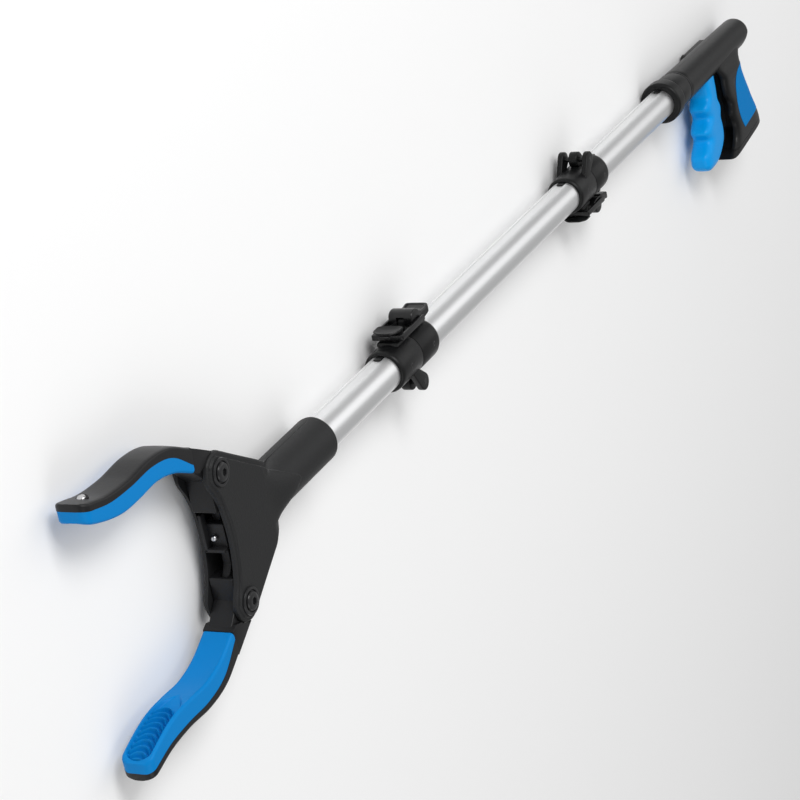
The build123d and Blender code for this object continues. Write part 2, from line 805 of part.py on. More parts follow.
def channel_block():
    """Space the trigger swings through."""
    with BuildPart() as channel:
        with BuildSketch(Plane.XY.offset(-CHANNEL_HALF)):
            with BuildLine():
                Polyline(*CHANNEL, close=True)
            make_face()
        extrude(amount=2 * CHANNEL_HALF)
    return channel.part


def make_handle_shell(side):
    """One half of the handle: half the barrel and one grip cheek."""
    with BuildPart() as shell:
        with BuildSketch(Plane.XY):
            with BuildLine():
                Polyline((BARREL_START, 0), (BARREL_START, BARREL_R0), (BARREL_END - 7.0, BARREL_R1))
                ThreePointArc(
                    (BARREL_END - 7.0, BARREL_R1),
                    (BARREL_END - 1.7, BARREL_R1 - 4.2),
                    (BARREL_END, 0),
                )
                Line((BARREL_END, 0), (BARREL_START, 0))
            make_face()
        revolve(axis=Axis.X)
        with BuildSketch(Plane.XY.offset(-20.0)):
            with BuildLine():
                Polyline((780.0, 9.0), (756.0, -13.0), (790.0, -30.0), (800.0, 9.0), close=True)
            make_face()
        extrude(amount=40.0, mode=Mode.SUBTRACT)
        add(grip_block())
        if side < 0:
            with BuildSketch(Plane.XY.offset(-SCREW_FACE)):
                with Locations((712.5, 1.0)):
                    SlotCenterToCenter(34.0, 12.0)
            extrude(amount=4.0)
        with BuildSketch(Plane.YZ.offset(BARREL_START)):
            Circle(TUBE_R)
            with Locations((TUBE_R, 0)):
                Rectangle(2 * GROOVE_DEEP, GROOVE_W, mode=Mode.SUBTRACT)
        extrude(amount=TUBE_END - BARREL_START, mode=Mode.SUBTRACT)
        with BuildSketch(Plane.YZ.offset(TUBE_END)):
            Circle(CAVITY_R)
        extrude(amount=722.0 - TUBE_END, mode=Mode.SUBTRACT)
        add(channel_block(), mode=Mode.SUBTRACT)
        for z0, depth in ((-9.6, 17.6), (-20.0, 12.0)):
            with BuildSketch(Plane.XY.offset(z0)):
                with Locations(TRIGGER_PIVOT, REAR_SCREW):
                    Circle(TRIGGER_PIN_R)
            extrude(amount=depth, mode=Mode.SUBTRACT)
        add(insert_region(), mode=Mode.SUBTRACT)
        with BuildSketch(Plane.XY.offset(-20.0)):
            with BuildLine():
                Polyline(*BUTT_CUT, close=True)
            make_face()
        extrude(amount=40.0, mode=Mode.SUBTRACT)
        with BuildSketch(Plane.XY):
            with Locations((700.0, -40.0)):
                Rectangle(200.0, 140.0)
        extrude(amount=-side * 20.0, mode=Mode.SUBTRACT)
    return shell.part


save(make_handle_shell(1), "handle_shell_left")
save(make_handle_shell(-1), "handle_shell_right")


with BuildPart() as grip_insert:
    add(insert_region())
    add(grip_block(), mode=Mode.INTERSECT)
save(grip_insert.part, "grip_insert")

with BuildPart() as butt_cap:
    with BuildSketch(Plane.XY.offset(-20.0)):
        with BuildLine():
            Polyline(*BUTT_CUT, close=True)
        make_face()
    extrude(amount=40.0)
    add(grip_block(), mode=Mode.INTERSECT)
    heel = GRIP_REAR[-1]
    toe = GRIP_FRONT[0]
    run = math.hypot(heel[0] - toe[0], heel[1] - toe[1])
    tilt = ((heel[0] - toe[0]) / run, (heel[1] - toe[1]) / run)
    middle = ((heel[0] + toe[0]) / 2, (heel[1] + toe[1]) / 2)
    base = Plane(origin=(middle[0], middle[1], 0), x_dir=(tilt[0], tilt[1], 0), z_dir=(tilt[1], -tilt[0], 0))
    add(channel_block(), mode=Mode.SUBTRACT)
    with BuildSketch(base.offset(-1.0)):
        RectangleRounded(run - 6.0, 2 * GRIP_HALF - 5.0, 3.0)
    extrude(amount=2.2)
save(butt_cap.part, "butt_cap")

TRIGGER_FRONT = (
    (680.5, -8.0),
    (682.5, -14.0),
    (682.5, -20.5),
    (677.0, -27.0),
    (680.5, -34.5),
    (672.5, -42.0),
    (675.5, -49.0),
    (666.5, -57.0),
    (666.5, -62.5),
)
TRIGGER_REAR = (
    (680.0, -68.2),
    (696.5, -62.5),
    (704.0, -54.5),
    (704.0, -45.5),
    (702.5, -39.0),
    (704.0, -32.0),
    (700.0, -25.0),
    (699.0, -17.0),
    (698.0, -8.0),
)
with BuildPart() as trigger:
    with BuildSketch(Plane.XY.offset(-TRIGGER_HALF)):
        with BuildLine():
            Spline(*TRIGGER_FRONT)
            ThreePointArc(TRIGGER_FRONT[-1], (670.0, -67.0), TRIGGER_REAR[0])
            Spline(*TRIGGER_REAR)
            Line(TRIGGER_REAR[-1], TRIGGER_FRONT[0])
        make_face()
    extrude(amount=2 * TRIGGER_HALF)
    with BuildSketch(Plane.XY.offset(-4.3)):
        with Locations(TRIGGER_PIVOT):
            Circle(3.6)
        with Locations((690.5, -13.0)):
            Rectangle(14.0, 8.0)
        make_hull()
    extrude(amount=8.6)
    with BuildSketch(Plane.XY.offset(-10.0)):
        with Locations(TRIGGER_PIVOT):
            Circle(TRIGGER_PIN_R + 0.05)
    extrude(amount=20.0, mode=Mode.SUBTRACT)
    with BuildSketch(Plane.XY.offset(-1.2)):
        with Locations((683.0, -10.0)):
            Rectangle(20.0, 5.4)
    extrude(amount=2.4, mode=Mode.SUBTRACT)
    with BuildSketch(Plane.XY.offset(-10.0)):
        with Locations(ANCHOR):
            Circle(1.2)
    extrude(amount=20.0, mode=Mode.SUBTRACT)
save(trigger.part, "trigger")
trigger_anchor = save(rod_z(ANCHOR[0], ANCHOR[1], -4.3, 4.3, 1.2), "trigger_cable_anchor")

screws = []
for spot in (TRIGGER_PIVOT, REAR_SCREW):
    screws.append(domed_screw(spot[0], spot[1], SCREW_FACE, -1, TRIGGER_PIN_R, 3.6, 1.6, 8.0, 1.4))
group(screws, "handle_screws")
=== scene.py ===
"""Looks of the tri-fold reacher grabber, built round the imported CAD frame.

All shapes below are given in millimetres in the tool frame: X = 0 on the jaw
pivots, +X to the handle, +Y away from the grip, Z = 0 on the tube axis.
"""
import json
import math

import bmesh
import bpy
import numpy as np
from mathutils import Matrix, Vector


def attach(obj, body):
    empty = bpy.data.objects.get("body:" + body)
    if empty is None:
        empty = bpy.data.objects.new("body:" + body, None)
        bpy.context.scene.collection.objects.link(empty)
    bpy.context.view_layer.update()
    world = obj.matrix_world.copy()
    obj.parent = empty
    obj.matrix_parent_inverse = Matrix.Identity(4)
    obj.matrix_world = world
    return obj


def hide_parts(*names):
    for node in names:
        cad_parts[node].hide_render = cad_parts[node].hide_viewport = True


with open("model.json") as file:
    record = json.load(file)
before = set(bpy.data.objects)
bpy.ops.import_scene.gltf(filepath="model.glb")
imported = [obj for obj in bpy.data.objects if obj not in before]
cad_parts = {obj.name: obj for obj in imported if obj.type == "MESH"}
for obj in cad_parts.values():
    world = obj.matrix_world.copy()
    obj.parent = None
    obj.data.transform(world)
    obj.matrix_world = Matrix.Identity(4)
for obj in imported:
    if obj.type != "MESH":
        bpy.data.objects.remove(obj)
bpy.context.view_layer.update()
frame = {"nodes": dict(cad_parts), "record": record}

MM = 0.001
SHIFT = np.array((-338.052, 3.587, 13.9))

# ------------------------------------------------------------------ dimensions shared with the CAD (mm)
TUBE_R = 9.5
JAW_Y = 32.5
NECK_END = 101.0
NECK_R = 12.1
FRONT_JOINT = 203.5
REAR_JOINT = 460.5
NOSE_START = 610.5
FLANGE_LEN = 12.0
BARREL_START = 642.0
BARREL_END = 776.0
TUBE_END = 664.0
COLLAR_R = 11.6
HOOK_COLLAR_LEN = 24.5
LEVER_COLLAR_LEN = 22.0
HINGE_OFFSET = 15.2
LUG_R = 4.7
LEVER_DX = 7.0
LEVER_DY = 15.6
BAIL_DX = 6.0
BAIL_Z = 8.2
BAIL_THICK = 1.4
LEVER_HALF = 6.9
LEVER_PIN_HALF = 6.7
LEVER_PIN_R = 1.3
EYE_HALF = 2.7
EAR_IN = 6.3
EAR_OUT = 9.7
PIN_R = 1.6
PIN_HALF = EAR_OUT + 0.15
RIVET_DX = 14.0
HOOK_FACE = -12.0
EAR_R = 9.8
TRIGGER_PIVOT = (695.5, 4.0)
REAR_SCREW = (729.5, 1.0)
GRIP_HALF = 13.0
CHANNEL_HALF = 8.3
WIDE = 30.0  # half width of a cutter that takes the whole handle


# ------------------------------------------------------------------ materials
def principled(name, colour, rough, metal=0.0, spec=0.5):
    """New material and its shader node."""
    mat = bpy.data.materials.new(name)
    mat.use_nodes = True
    bsdf = mat.node_tree.nodes["Principled BSDF"]
    bsdf.inputs["Base Color"].default_value = (*colour, 1.0)
    bsdf.inputs["Roughness"].default_value = rough
    bsdf.inputs["Metallic"].default_value = metal
    bsdf.inputs["Specular IOR Level"].default_value = spec
    return mat, bsdf


def add_grain(mat, bsdf, scale, strength, stretch, rough_span):
    """Fine bump, and a little roughness variation, in object space."""
    tree = mat.node_tree
    coords = tree.nodes.new("ShaderNodeTexCoord")
    mapping = tree.nodes.new("ShaderNodeMapping")
    mapping.inputs["Scale"].default_value = stretch
    noise = tree.nodes.new("ShaderNodeTexNoise")
    noise.inputs["Scale"].default_value = scale
    noise.inputs["Detail"].default_value = 3.0
    bump = tree.nodes.new("ShaderNodeBump")
    bump.inputs["Strength"].default_value = strength
    bump.inputs["Distance"].default_value = 0.0002
    tree.links.new(coords.outputs["Object"], mapping.inputs["Vector"])
    tree.links.new(mapping.outputs["Vector"], noise.inputs["Vector"])
    tree.links.new(noise.outputs["Fac"], bump.inputs["Height"])
    tree.links.new(bump.outputs["Normal"], bsdf.inputs["Normal"])
    if rough_span:
        ramp = tree.nodes.new("ShaderNodeMapRange")
        ramp.inputs["To Min"].default_value = rough_span[0]
        ramp.inputs["To Max"].default_value = rough_span[1]
        tree.links.new(noise.outputs["Fac"], ramp.inputs["Value"])
        tree.links.new(ramp.outputs["Result"], bsdf.inputs["Roughness"])


EVEN = (1.0, 1.0, 1.0)
# name: colour, roughness, metal, specular, grain (scale, strength), roughness span, grain stretch
FINISHES = {
    "shell_black": ((0.0055, 0.0057, 0.006), 0.34, 0.0, 0.21, (900.0, 0.25), (0.28, 0.42), EVEN),
    "plate_black": ((0.0135, 0.0138, 0.0144), 0.5, 0.0, 0.28, (1400.0, 0.6), (0.46, 0.6), EVEN),
    "lever_black": ((0.004, 0.004, 0.0044), 0.26, 0.0, 0.4, (900.0, 0.15), None, EVEN),
    "jaw_black": ((0.008, 0.008, 0.0088), 0.38, 0.0, 0.28, (900.0, 0.2), None, EVEN),
    "pad_blue": ((0.0, 0.205, 0.56), 0.42, 0.0, 0.12, (700.0, 0.12), (0.42, 0.52), EVEN),
    "insert_blue": ((0.0, 0.19, 0.52), 0.6, 0.0, 0.07, (1200.0, 0.4), (0.55, 0.66), EVEN),
    "trigger_blue": ((0.0, 0.31, 0.78), 0.34, 0.0, 0.17, (500.0, 0.06), None, EVEN),
    "tube_alu": ((0.88, 0.885, 0.89), 0.34, 1.0, 0.5, (420.0, 0.05), (0.33, 0.40), (0.03, 1.0, 1.0)),
    "screw_black": ((0.012, 0.012, 0.013), 0.28, 0.0, 0.4, None, None, EVEN),
    "steel": ((0.50, 0.50, 0.51), 0.28, 1.0, 0.5, None, None, EVEN),
    "wire_dark": ((0.03, 0.03, 0.033), 0.3, 0.6, 0.5, None, None, EVEN),
    "nylon_dark": ((0.012, 0.012, 0.013), 0.45, 0.0, 0.3, None, None, EVEN),
    "magnet": ((0.58, 0.58, 0.59), 0.2, 1.0, 0.5, None, None, EVEN),
}


def make_materials():
    """Every finish on the tool, by name."""
    mats = {}
    for name, (colour, rough, metal, spec, grain, rough_span, stretch) in FINISHES.items():
        mats[name], bsdf = principled(name, colour, rough, metal, spec)
        if grain:
            add_grain(mats[name], bsdf, *grain, stretch, rough_span)
    return mats


MATS = make_materials()


# ------------------------------------------------------------------ mesh helpers
def to_row(points):
    """Tool-frame millimetres to metres in the frame of the CAD."""
    return (np.asarray(points, float).reshape(-1, 3) + SHIFT) * MM


def mesh_object(name, points, faces, material):
    """Closed mesh with merged points and outward normals."""
    mesh = bpy.data.meshes.new(name)
    mesh.from_pydata([tuple(p) for p in to_row(points)], [], [tuple(f) for f in faces])
    mesh.validate()
    obj = bpy.data.objects.new(name, mesh)
    bpy.context.scene.collection.objects.link(obj)
    obj.data.materials.append(MATS[material])
    fix = bmesh.new()
    fix.from_mesh(mesh)
    bmesh.ops.remove_doubles(fix, verts=fix.verts, dist=1e-7)
    bmesh.ops.recalc_face_normals(fix, faces=fix.faces)
    fix.to_mesh(mesh)
    fix.free()
    return obj


def smooth(obj, angle=32.0):
    """Smooth shading with sharp edges kept above an angle."""
    for poly in obj.data.polygons:
        poly.use_smooth = True
    obj.data.set_sharp_from_angle(angle=math.radians(angle))
    return obj


def apply_modifiers(obj):
    """Bake the modifiers into the mesh."""
    graph = bpy.context.evaluated_depsgraph_get()
    baked = bpy.data.meshes.new_from_object(obj.evaluated_get(graph))
    old = obj.data
    obj.modifiers.clear()
    obj.data = baked
    bpy.data.meshes.remove(old)
    return obj


def bevel(obj, width, segments=3, angle=35.0):
    """Round the edges that are sharper than an angle."""
    mod = obj.modifiers.new("bevel", "BEVEL")
    mod.width = width * MM
    mod.segments = segments
    mod.limit_method = "ANGLE"
    mod.angle_limit = math.radians(angle)
    mod.harden_normals = False
    return apply_modifiers(obj)


def boolean(obj, cutter, kind="DIFFERENCE"):
    """Cut with another object, which is used up."""
    mod = obj.modifiers.new("cut", "BOOLEAN")
    mod.object = cutter
    mod.operation = kind
    mod.solver = "EXACT"
    apply_modifiers(obj)
    data = cutter.data
    bpy.data.objects.remove(cutter)
    bpy.data.meshes.remove(data)
    return obj


def join(objects, name):
    """One mesh object from several; keeps every material used."""
    out = bmesh.new()
    mats = []
    for obj in objects:
        start = len(out.faces)
        out.from_mesh(obj.data)
        out.faces.ensure_lookup_table()
        for k in range(start, len(out.faces)):
            face = out.faces[k]
            mat = obj.data.materials[face.material_index]
            if mat not in mats:
                mats.append(mat)
            face.material_index = mats.index(mat)
    mesh = bpy.data.meshes.new(name)
    out.to_mesh(mesh)
    out.free()
    for mat in mats:
        mesh.materials.append(mat)
    made = bpy.data.objects.new(name, mesh)
    bpy.context.scene.collection.objects.link(made)
    for obj in objects:
        data = obj.data
        bpy.data.objects.remove(obj)
        bpy.data.meshes.remove(data)
    return made


def place(obj, body, nodes=()):
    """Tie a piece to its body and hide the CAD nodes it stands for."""
    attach(obj, body)
    if nodes:
        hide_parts(*nodes)
    return obj


def put(parts, node, angle, body):
    """Join the pieces that stand for one node, smooth them and place the result."""
    place(smooth(join(parts, node + "_look"), angle), body, [node])


def loft(name, sections, material, cap=True, closed_path=False):
    """Skin between closed loops that all have the same number of points."""
    rings = [np.asarray(s, float) for s in sections]
    count = len(rings[0])
    points = np.concatenate(rings)
    faces = []
    spans = len(rings) if closed_path else len(rings) - 1
    for i in range(spans):
        a = i * count
        b = ((i + 1) % len(rings)) * count
        for j in range(count):
            k = (j + 1) % count
            faces.append((a + j, a + k, b + k, b + j))
    if cap and not closed_path:
        faces.append(tuple(range(count))[::-1])
        last = (len(rings) - 1) * count
        faces.append(tuple(range(last, last + count)))
    return mesh_object(name, points, faces, material)


def lathe_x(name, profile, material, segments=96, closed=True):
    """Turn a profile of (x, radius) pairs round the tool axis."""
    rings = []
    for x, r in profile:
        turn = np.linspace(0, 2 * math.pi, segments, endpoint=False)
        rings.append(np.stack([np.full(segments, x), r * np.cos(turn), r * np.sin(turn)], 1))
    return loft(name, rings, material, cap=not closed, closed_path=closed)


def lathe_z(name, profile, centre, material, segments=72):
    """Turn a profile of (radius, z) pairs round an axis along Z; ends are capped."""
    rings = []
    for r, z in profile:
        turn = np.linspace(0, 2 * math.pi, segments, endpoint=False)
        r = max(r, 0.02)
        rings.append(
            np.stack([centre[0] + r * np.cos(turn), centre[1] + r * np.sin(turn), np.full(segments, z)], 1)
        )
    return loft(name, rings, material)


def prism(name, outline, z0, z1, material, rim=0.5, segments=3, angle=35.0):
    """Flat shape drawn in XY, pulled along Z, with its edges rounded."""
    low = [(x, y, z0) for x, y in outline]
    high = [(x, y, z1) for x, y in outline]
    obj = loft(name, [low, high], material)
    if rim:
        bevel(obj, rim, segments, angle)
    return obj


def catmull(points, per_span=12, closed=False):
    """Smooth curve through the points."""
    p = np.asarray(points, float)
    n = len(p)
    out = []
    spans = n if closed else n - 1
    for i in range(spans):
        p1 = p[i]
        p2 = p[(i + 1) % n]
        p0 = p[i - 1] if (closed or i > 0) else 2 * p1 - p2
        p3 = p[(i + 2) % n] if (closed or i + 2 < n) else 2 * p2 - p1
        for k in range(per_span):
            t = k / per_span
            second = 2 * p0 - 5 * p1 + 4 * p2 - p3
            third = 3 * p1 - p0 - 3 * p2 + p3
            out.append(0.5 * (2 * p1 + (p2 - p0) * t + second * t**2 + third * t**3))
    if not closed:
        out.append(p[-1])
    return np.array(out)


def resample(points, count):
    """Evenly spaced points along an open curve."""
    p = np.asarray(points, float)
    step = np.linalg.norm(np.diff(p, axis=0), axis=1)
    run = np.concatenate([[0], np.cumsum(step)])
    want = np.linspace(0, run[-1], count)
    return np.stack([np.interp(want, run, p[:, k]) for k in range(p.shape[1])], 1)


def smoothstep(a, b, x):
    """Smooth rise from 0 at a to 1 at b."""
    t = np.clip((np.asarray(x, float) - a) / (b - a), 0, 1)
    return t * t * (3 - 2 * t)


def rectangle(x0, y0, x1, y1):
    """Four corners, starting at the first one given."""
    return [(x0, y0), (x1, y0), (x1, y1), (x0, y1)]


def squircle(rx, rz, front, rear, count):
    """Rounded rectangle round the origin; the powers say how square each end is."""
    loop = []
    for t in np.linspace(0, 2 * math.pi, count, endpoint=False):
        c, s = math.cos(t), math.sin(t)
        n = front if c < 0 else rear
        loop.append((rx * math.copysign(abs(c) ** (2 / n), c), rz * math.copysign(abs(s) ** (2 / n), s)))
    return loop


def hexagon(x, y, r, turn):
    """Six corners round a point."""
    angles = np.radians(60 * np.arange(6) + turn)
    return [(x + r * math.cos(a), y + r * math.sin(a)) for a in angles]


def arc(cx, cy, r, a0, a1, count):
    """Points on an arc, angles in degrees."""
    t = np.radians(np.linspace(a0, a1, count))
    return np.stack([cx + r * np.cos(t), cy + r * np.sin(t)], 1)


def rounded_polygon(corners, radii, count=6):
    """Closed outline with rounded corners."""
    c = [np.asarray(p, float) for p in corners]
    out = []
    n = len(c)
    for i in range(n):
        r = radii[i] if hasattr(radii, "__len__") else radii
        a = c[i - 1] - c[i]
        b = c[(i + 1) % n] - c[i]
        la, lb = np.linalg.norm(a), np.linalg.norm(b)
        a, b = a / la, b / lb
        half = math.acos(np.clip(a @ b, -1, 1)) / 2
        cut = min(r / math.tan(half), 0.48 * la, 0.48 * lb) if r > 0 else 0
        if cut <= 0:
            out.append(c[i])
            continue
        rr = cut * math.tan(half)
        mid = (a + b) / np.linalg.norm(a + b)
        centre = c[i] + mid * (rr / math.sin(half))
        start, end = c[i] + a * cut - centre, c[i] + b * cut - centre
        t0 = math.atan2(start[1], start[0])
        t1 = math.atan2(end[1], end[0])
        turn = (t1 - t0 + math.pi) % (2 * math.pi) - math.pi
        for k in range(count + 1):
            t = t0 + turn * k / count
            out.append(centre + rr * np.array([math.cos(t), math.sin(t)]))
    return np.array(out)


def cut_block(outline, z0, z1, material="shell_black"):
    """Sharp-edged block for cutting."""
    return prism("cut", outline, z0, z1, material, rim=0)


# ------------------------------------------------------------------ tubes
def build_tubes():
    """Three tubes, each with the flat-bottomed groove on top."""
    spans = (
        ("front_tube", 54.0, FRONT_JOINT - 1.65, "head"),
        ("middle_tube", FRONT_JOINT + 1.65, REAR_JOINT - 1.65, "middle"),
        ("rear_tube", REAR_JOINT + 1.65, TUBE_END, "handle"),
    )
    for name, x0, x1, body in spans:
        loop = []
        for a in np.linspace(-180, 180, 240, endpoint=False):
            t = math.radians(a)
            y, z = TUBE_R * math.cos(t), TUBE_R * math.sin(t)
            if abs(z) < 2.6 and y > 0:
                edge = float(smoothstep(2.6, 2.25, abs(z)))
                y = y * (1 - edge) + (TUBE_R - 0.75) * edge
            loop.append((y, z))
        rings = [[(x, y, z) for y, z in loop] for x in np.linspace(x0, x1, 24)]
        tube = loft(name + "_look", rings, "tube_alu")
        place(smooth(tube, 20), body, [name])


# ------------------------------------------------------------------ fold joints
def hull_outline(circles, count=40):
    """Outline of the smallest rounded shape round some circles."""
    pts = []
    for x, y, r in circles:
        pts.extend(arc(x, y, r, 0, 360, count)[:-1].tolist())
    pts = sorted(map(tuple, pts))

    def turns_left(o, a, b):
        return (a[0] - o[0]) * (b[1] - o[1]) - (a[1] - o[1]) * (b[0] - o[0]) > 1e-9

    def half(seq):
        out = []
        for p in seq:
            while len(out) >= 2 and not turns_left(out[-2], out[-1], p):
                out.pop()
            out.append(p)
        return out

    return np.array(half(pts)[:-1] + half(pts[::-1])[:-1])


def lug(joint, side, hinge, z0, z1, foot):
    """Hinge lug standing on its collar."""
    shape = hull_outline(
        [
            (joint, hinge * HINGE_OFFSET, LUG_R), (joint + side * 9.5, hinge * foot, 1.2),
            (joint + side * 5.2, hinge * foot, 1.2),
        ]
    )
    return prism("lug", shape, z0, z1, "shell_black", rim=0.55)


def groove_key(face, side):
    """Small tongue that reaches out of a sleeve along the tube's groove."""
    x0, x1 = face - side * 0.4, face + side * 4.6
    loop = rounded_polygon(rectangle(x0, -2.2, x1, 2.2), [0, 1.2, 1.2, 0], 4)
    low = [(x, TUBE_R - 0.95, z) for x, z in loop]
    high = [(x, TUBE_R - 0.1, z) for x, z in loop]
    return bevel(loft("key", [low, high], "shell_black"), 0.2, 2)


def collar_look(joint, side, hinge, name, body):
    """Collar with its hinge lugs and its half of the latch."""
    latch = -hinge
    length = HOOK_COLLAR_LEN if side < 0 else LEVER_COLLAR_LEN
    near = joint + side * 0.12
    far = joint + side * length

    def at(dx):
        return joint + side * dx

    profile = [
        (near, 8.4),
        (near, COLLAR_R - 0.35),
        (at(0.2), COLLAR_R - 0.12),
        (at(0.45), COLLAR_R),
        (at(length - 3.0), COLLAR_R),
        (at(length - 1.8), COLLAR_R - 0.1),
        (at(length - 0.9), COLLAR_R - 0.4),
        (at(length - 0.3), COLLAR_R - 0.9),
        (far, COLLAR_R - 1.5),
        (far, TUBE_R + 0.03),
        (at(2.0), TUBE_R + 0.03),
        (at(2.0), 8.4),
    ]
    parts = [lathe_x("ring", profile, "shell_black", 128)]
    if side < 0:
        parts.append(lug(joint, side, hinge, EAR_IN, EAR_OUT, 6.6))
        parts.append(lug(joint, side, hinge, -EAR_OUT, -EAR_IN, 6.6))
        x0 = joint + HOOK_FACE
        post = rounded_polygon(
            [
                (x0, latch * 10.4), (x0, latch * 17.6), (x0 + 5.4, latch * 17.8),
                (x0 + 7.2, latch * 12.0), (x0 + 7.6, latch * 10.4),
            ],
            [0, 0.6, 1.6, 2.0, 0],
            5,
        )
        parts.append(prism("post", post, -5.8, 5.8, "shell_black", rim=0.5))
        plan = rounded_polygon(
            [
                (x0 - 5.4, -3.6), (x0 - 5.4, 3.6), (x0 - 2.2, 7.4), (x0 + 4.2, 7.4), (x0 + 5.4, 4.6),
                (x0 + 5.4, -4.6), (x0 + 4.2, -7.4), (x0 - 2.2, -7.4),
            ],
            [3.0, 3.0, 3.5, 1.5, 1.5, 1.5, 1.5, 3.5],
            6,
        )
        rings = []
        for h, grow in (
            (16.7, 0.72), (17.0, 0.8), (17.9, 1.0), (18.5, 1.02), (18.9, 0.97), (18.7, 0.86), (18.2, 0.6),
            (18.0, 0.3), (17.95, 0.05),
        ):
            middle = np.array((x0, 0.0))
            ring = middle + (plan - middle) * grow
            rings.append([(x, latch * h, z) for x, z in ring])
        parts.append(loft("lip", rings, "shell_black"))
        base = rounded_polygon(
            [
                (x0 - 3.4, latch * 10.6), (x0 - 2.0, latch * 12.4), (x0 + 8.6, latch * 12.4),
                (x0 + 10.0, latch * 10.6),
            ], [0, 1.0, 1.0, 0], 4
        )
        parts.append(prism("base", base, -6.2, 6.2, "shell_black", rim=0.4))
    else:
        parts.append(lug(joint, side, hinge, -EYE_HALF, EYE_HALF, 9.6))
        shape = hull_outline(
            [
                (joint + LEVER_DX, latch * LEVER_DY, 3.0),
                (joint + LEVER_DX - 3.0, latch * 9.6, 0.8),
                (joint + LEVER_DX + 3.0, latch * 9.6, 0.8),
            ]
        )
        parts.append(prism("ear", shape, -1.95, 1.95, "shell_black", rim=0.3))
        fin = rounded_polygon(
            [
                (far - 6.5, latch * 10.8), (far - 4.6, latch * 12.2), (far - 2.2, latch * 12.2),
                (far - 1.2, latch * 10.8),
            ], [0, 0.8, 0.8, 0], 4
        )
        parts.append(prism("fin", fin, -4.6, 4.6, "shell_black", rim=0.3))
    parts.append(groove_key(far, side))
    put(parts, name, 30, body)


def rivet_looks():
    """Small rivet heads on the collars."""
    jobs = (
        ("front_tube_rivets", "head", ((FRONT_JOINT, -1),)),
        ("middle_tube_rivets", "middle", ((FRONT_JOINT, 1), (REAR_JOINT, -1))),
        ("rear_tube_rivets", "handle", ((REAR_JOINT, 1),)),
    )
    for node, body, spots in jobs:
        parts = []
        for joint, side in spots:
            for zs in (1, -1):
                r0 = COLLAR_R - 0.05
                prof = [
                    (1.35, zs * (r0 - 2.0)), (1.35, zs * r0), (1.15, zs * (r0 + 0.12)),
                    (0.6, zs * (r0 + 0.1)), (0.5, zs * (r0 - 0.25)),
                ]
                parts.append(lathe_z("rivet", prof, (joint + side * RIVET_DX, 0.0), "screw_black", 24))
        put(parts, node, 30, body)


def pin_look(node, x, y, half, r, body):
    """Pin along Z with chamfered ends."""
    prof = [(0.0, -half), (r - 0.3, -half), (r, -half + 0.3), (r, half - 0.3), (r - 0.3, half), (0.0, half)]
    obj = lathe_z(node + "_look", prof, (x, y), "screw_black", 32)
    place(smooth(obj, 30), body, [node])


LEVER_ROLL = (
    (-3.2, -1.4), (-3.5, 3.0), (-1.8, 5.5), (1.6, 6.3), (4.8, 5.3), (6.6, 2.8), (7.4, -1.0), (6.0, -2.4),
    (0.6, -2.9),
)


def lever_pad(px, py, latch):
    """Finger pad: rounded at its end, with a shallow dish on top."""
    sections = []
    for a in np.linspace(4.6, 19.3, 60):
        left = 19.3 - a
        half = LEVER_HALF if left >= 3.6 else 3.3 + math.sqrt(max(3.6**2 - (3.6 - left) ** 2, 0.0))
        top = float(np.interp(a, (4.6, 6.0, 8.6, 14.0, 17.5, 19.3), (0.0, 1.6, 2.5, 2.3, 3.0, 2.5)))
        low = float(np.interp(a, (4.6, 8.0, 14.0, 18.0, 19.3), (-2.0, -2.8, -2.2, -1.0, 0.6)))
        upper, lower = [], []
        for z in np.linspace(-half, half, 33):
            edge = half - abs(z)
            drop = 0.0 if edge >= 0.8 else 0.8 - math.sqrt(max(0.64 - (0.8 - edge) ** 2, 0.0))
            dish = 0.75 * float(
                smoothstep(1.2, 2.4, edge) * smoothstep(8.0, 10.0, a) * smoothstep(1.2, 2.6, left)
            )
            upper.append((px + a, latch * (py + top - drop - dish), z))
            lower.append((px + a, latch * (py + low + 0.6 * drop), z))
        sections.append(upper + lower[::-1])
    return loft("pad", sections, "lever_black")


def lever_look(joint, latch, name, body):
    """Over-centre lever: slotted block with a finger pad."""
    px, py = joint + LEVER_DX, LEVER_DY

    def at(points):
        return [(px + a, latch * (py + b)) for a, b in points]

    block = prism(
        "roll", at(catmull(LEVER_ROLL, 8, True)), -LEVER_HALF, LEVER_HALF, "lever_black", rim=1.0,
        segments=4, angle=50,
    )
    slot = cut_block(at(rectangle(-12.0, -7.0, 3.5, 3.4)), -2.2, 2.2, "lever_black")
    boolean(block, slot)
    put([block, lever_pad(px, py, latch)], name + "_latch_lever", 36, body)


def bail_look(joint, latch, name, body):
    """Flat loop from the lever to the hook."""
    qx, qy = joint + LEVER_DX + BAIL_DX, latch * (LEVER_DY - 0.6)
    bx, by = joint + HOOK_FACE - 1.0, latch * 14.9
    arm = hull_outline([(qx, qy, 1.75), (bx + 0.9, by, 1.6)])
    outer = BAIL_Z + BAIL_THICK / 2
    parts = []
    for z0 in (outer - BAIL_THICK, -outer):
        parts.append(prism("arm", arm, z0, z0 + BAIL_THICK, "lever_black", rim=0.35))
    bar = rounded_polygon(rectangle(bx - 0.7, by - 1.6, bx + 0.7, by + 1.6), 0.5, 4)
    parts.append(prism("bar", bar, -outer, outer, "lever_black", rim=0.35))
    for zs in (1, -1):
        stub = [(0.0, zs * 4.3), (1.0, zs * 4.3), (1.0, zs * 8.6), (0.0, zs * 8.6)]
        parts.append(lathe_z("stub", stub, (qx, qy), "lever_black", 32))
    put(parts, name + "_latch_bail", 36, body)


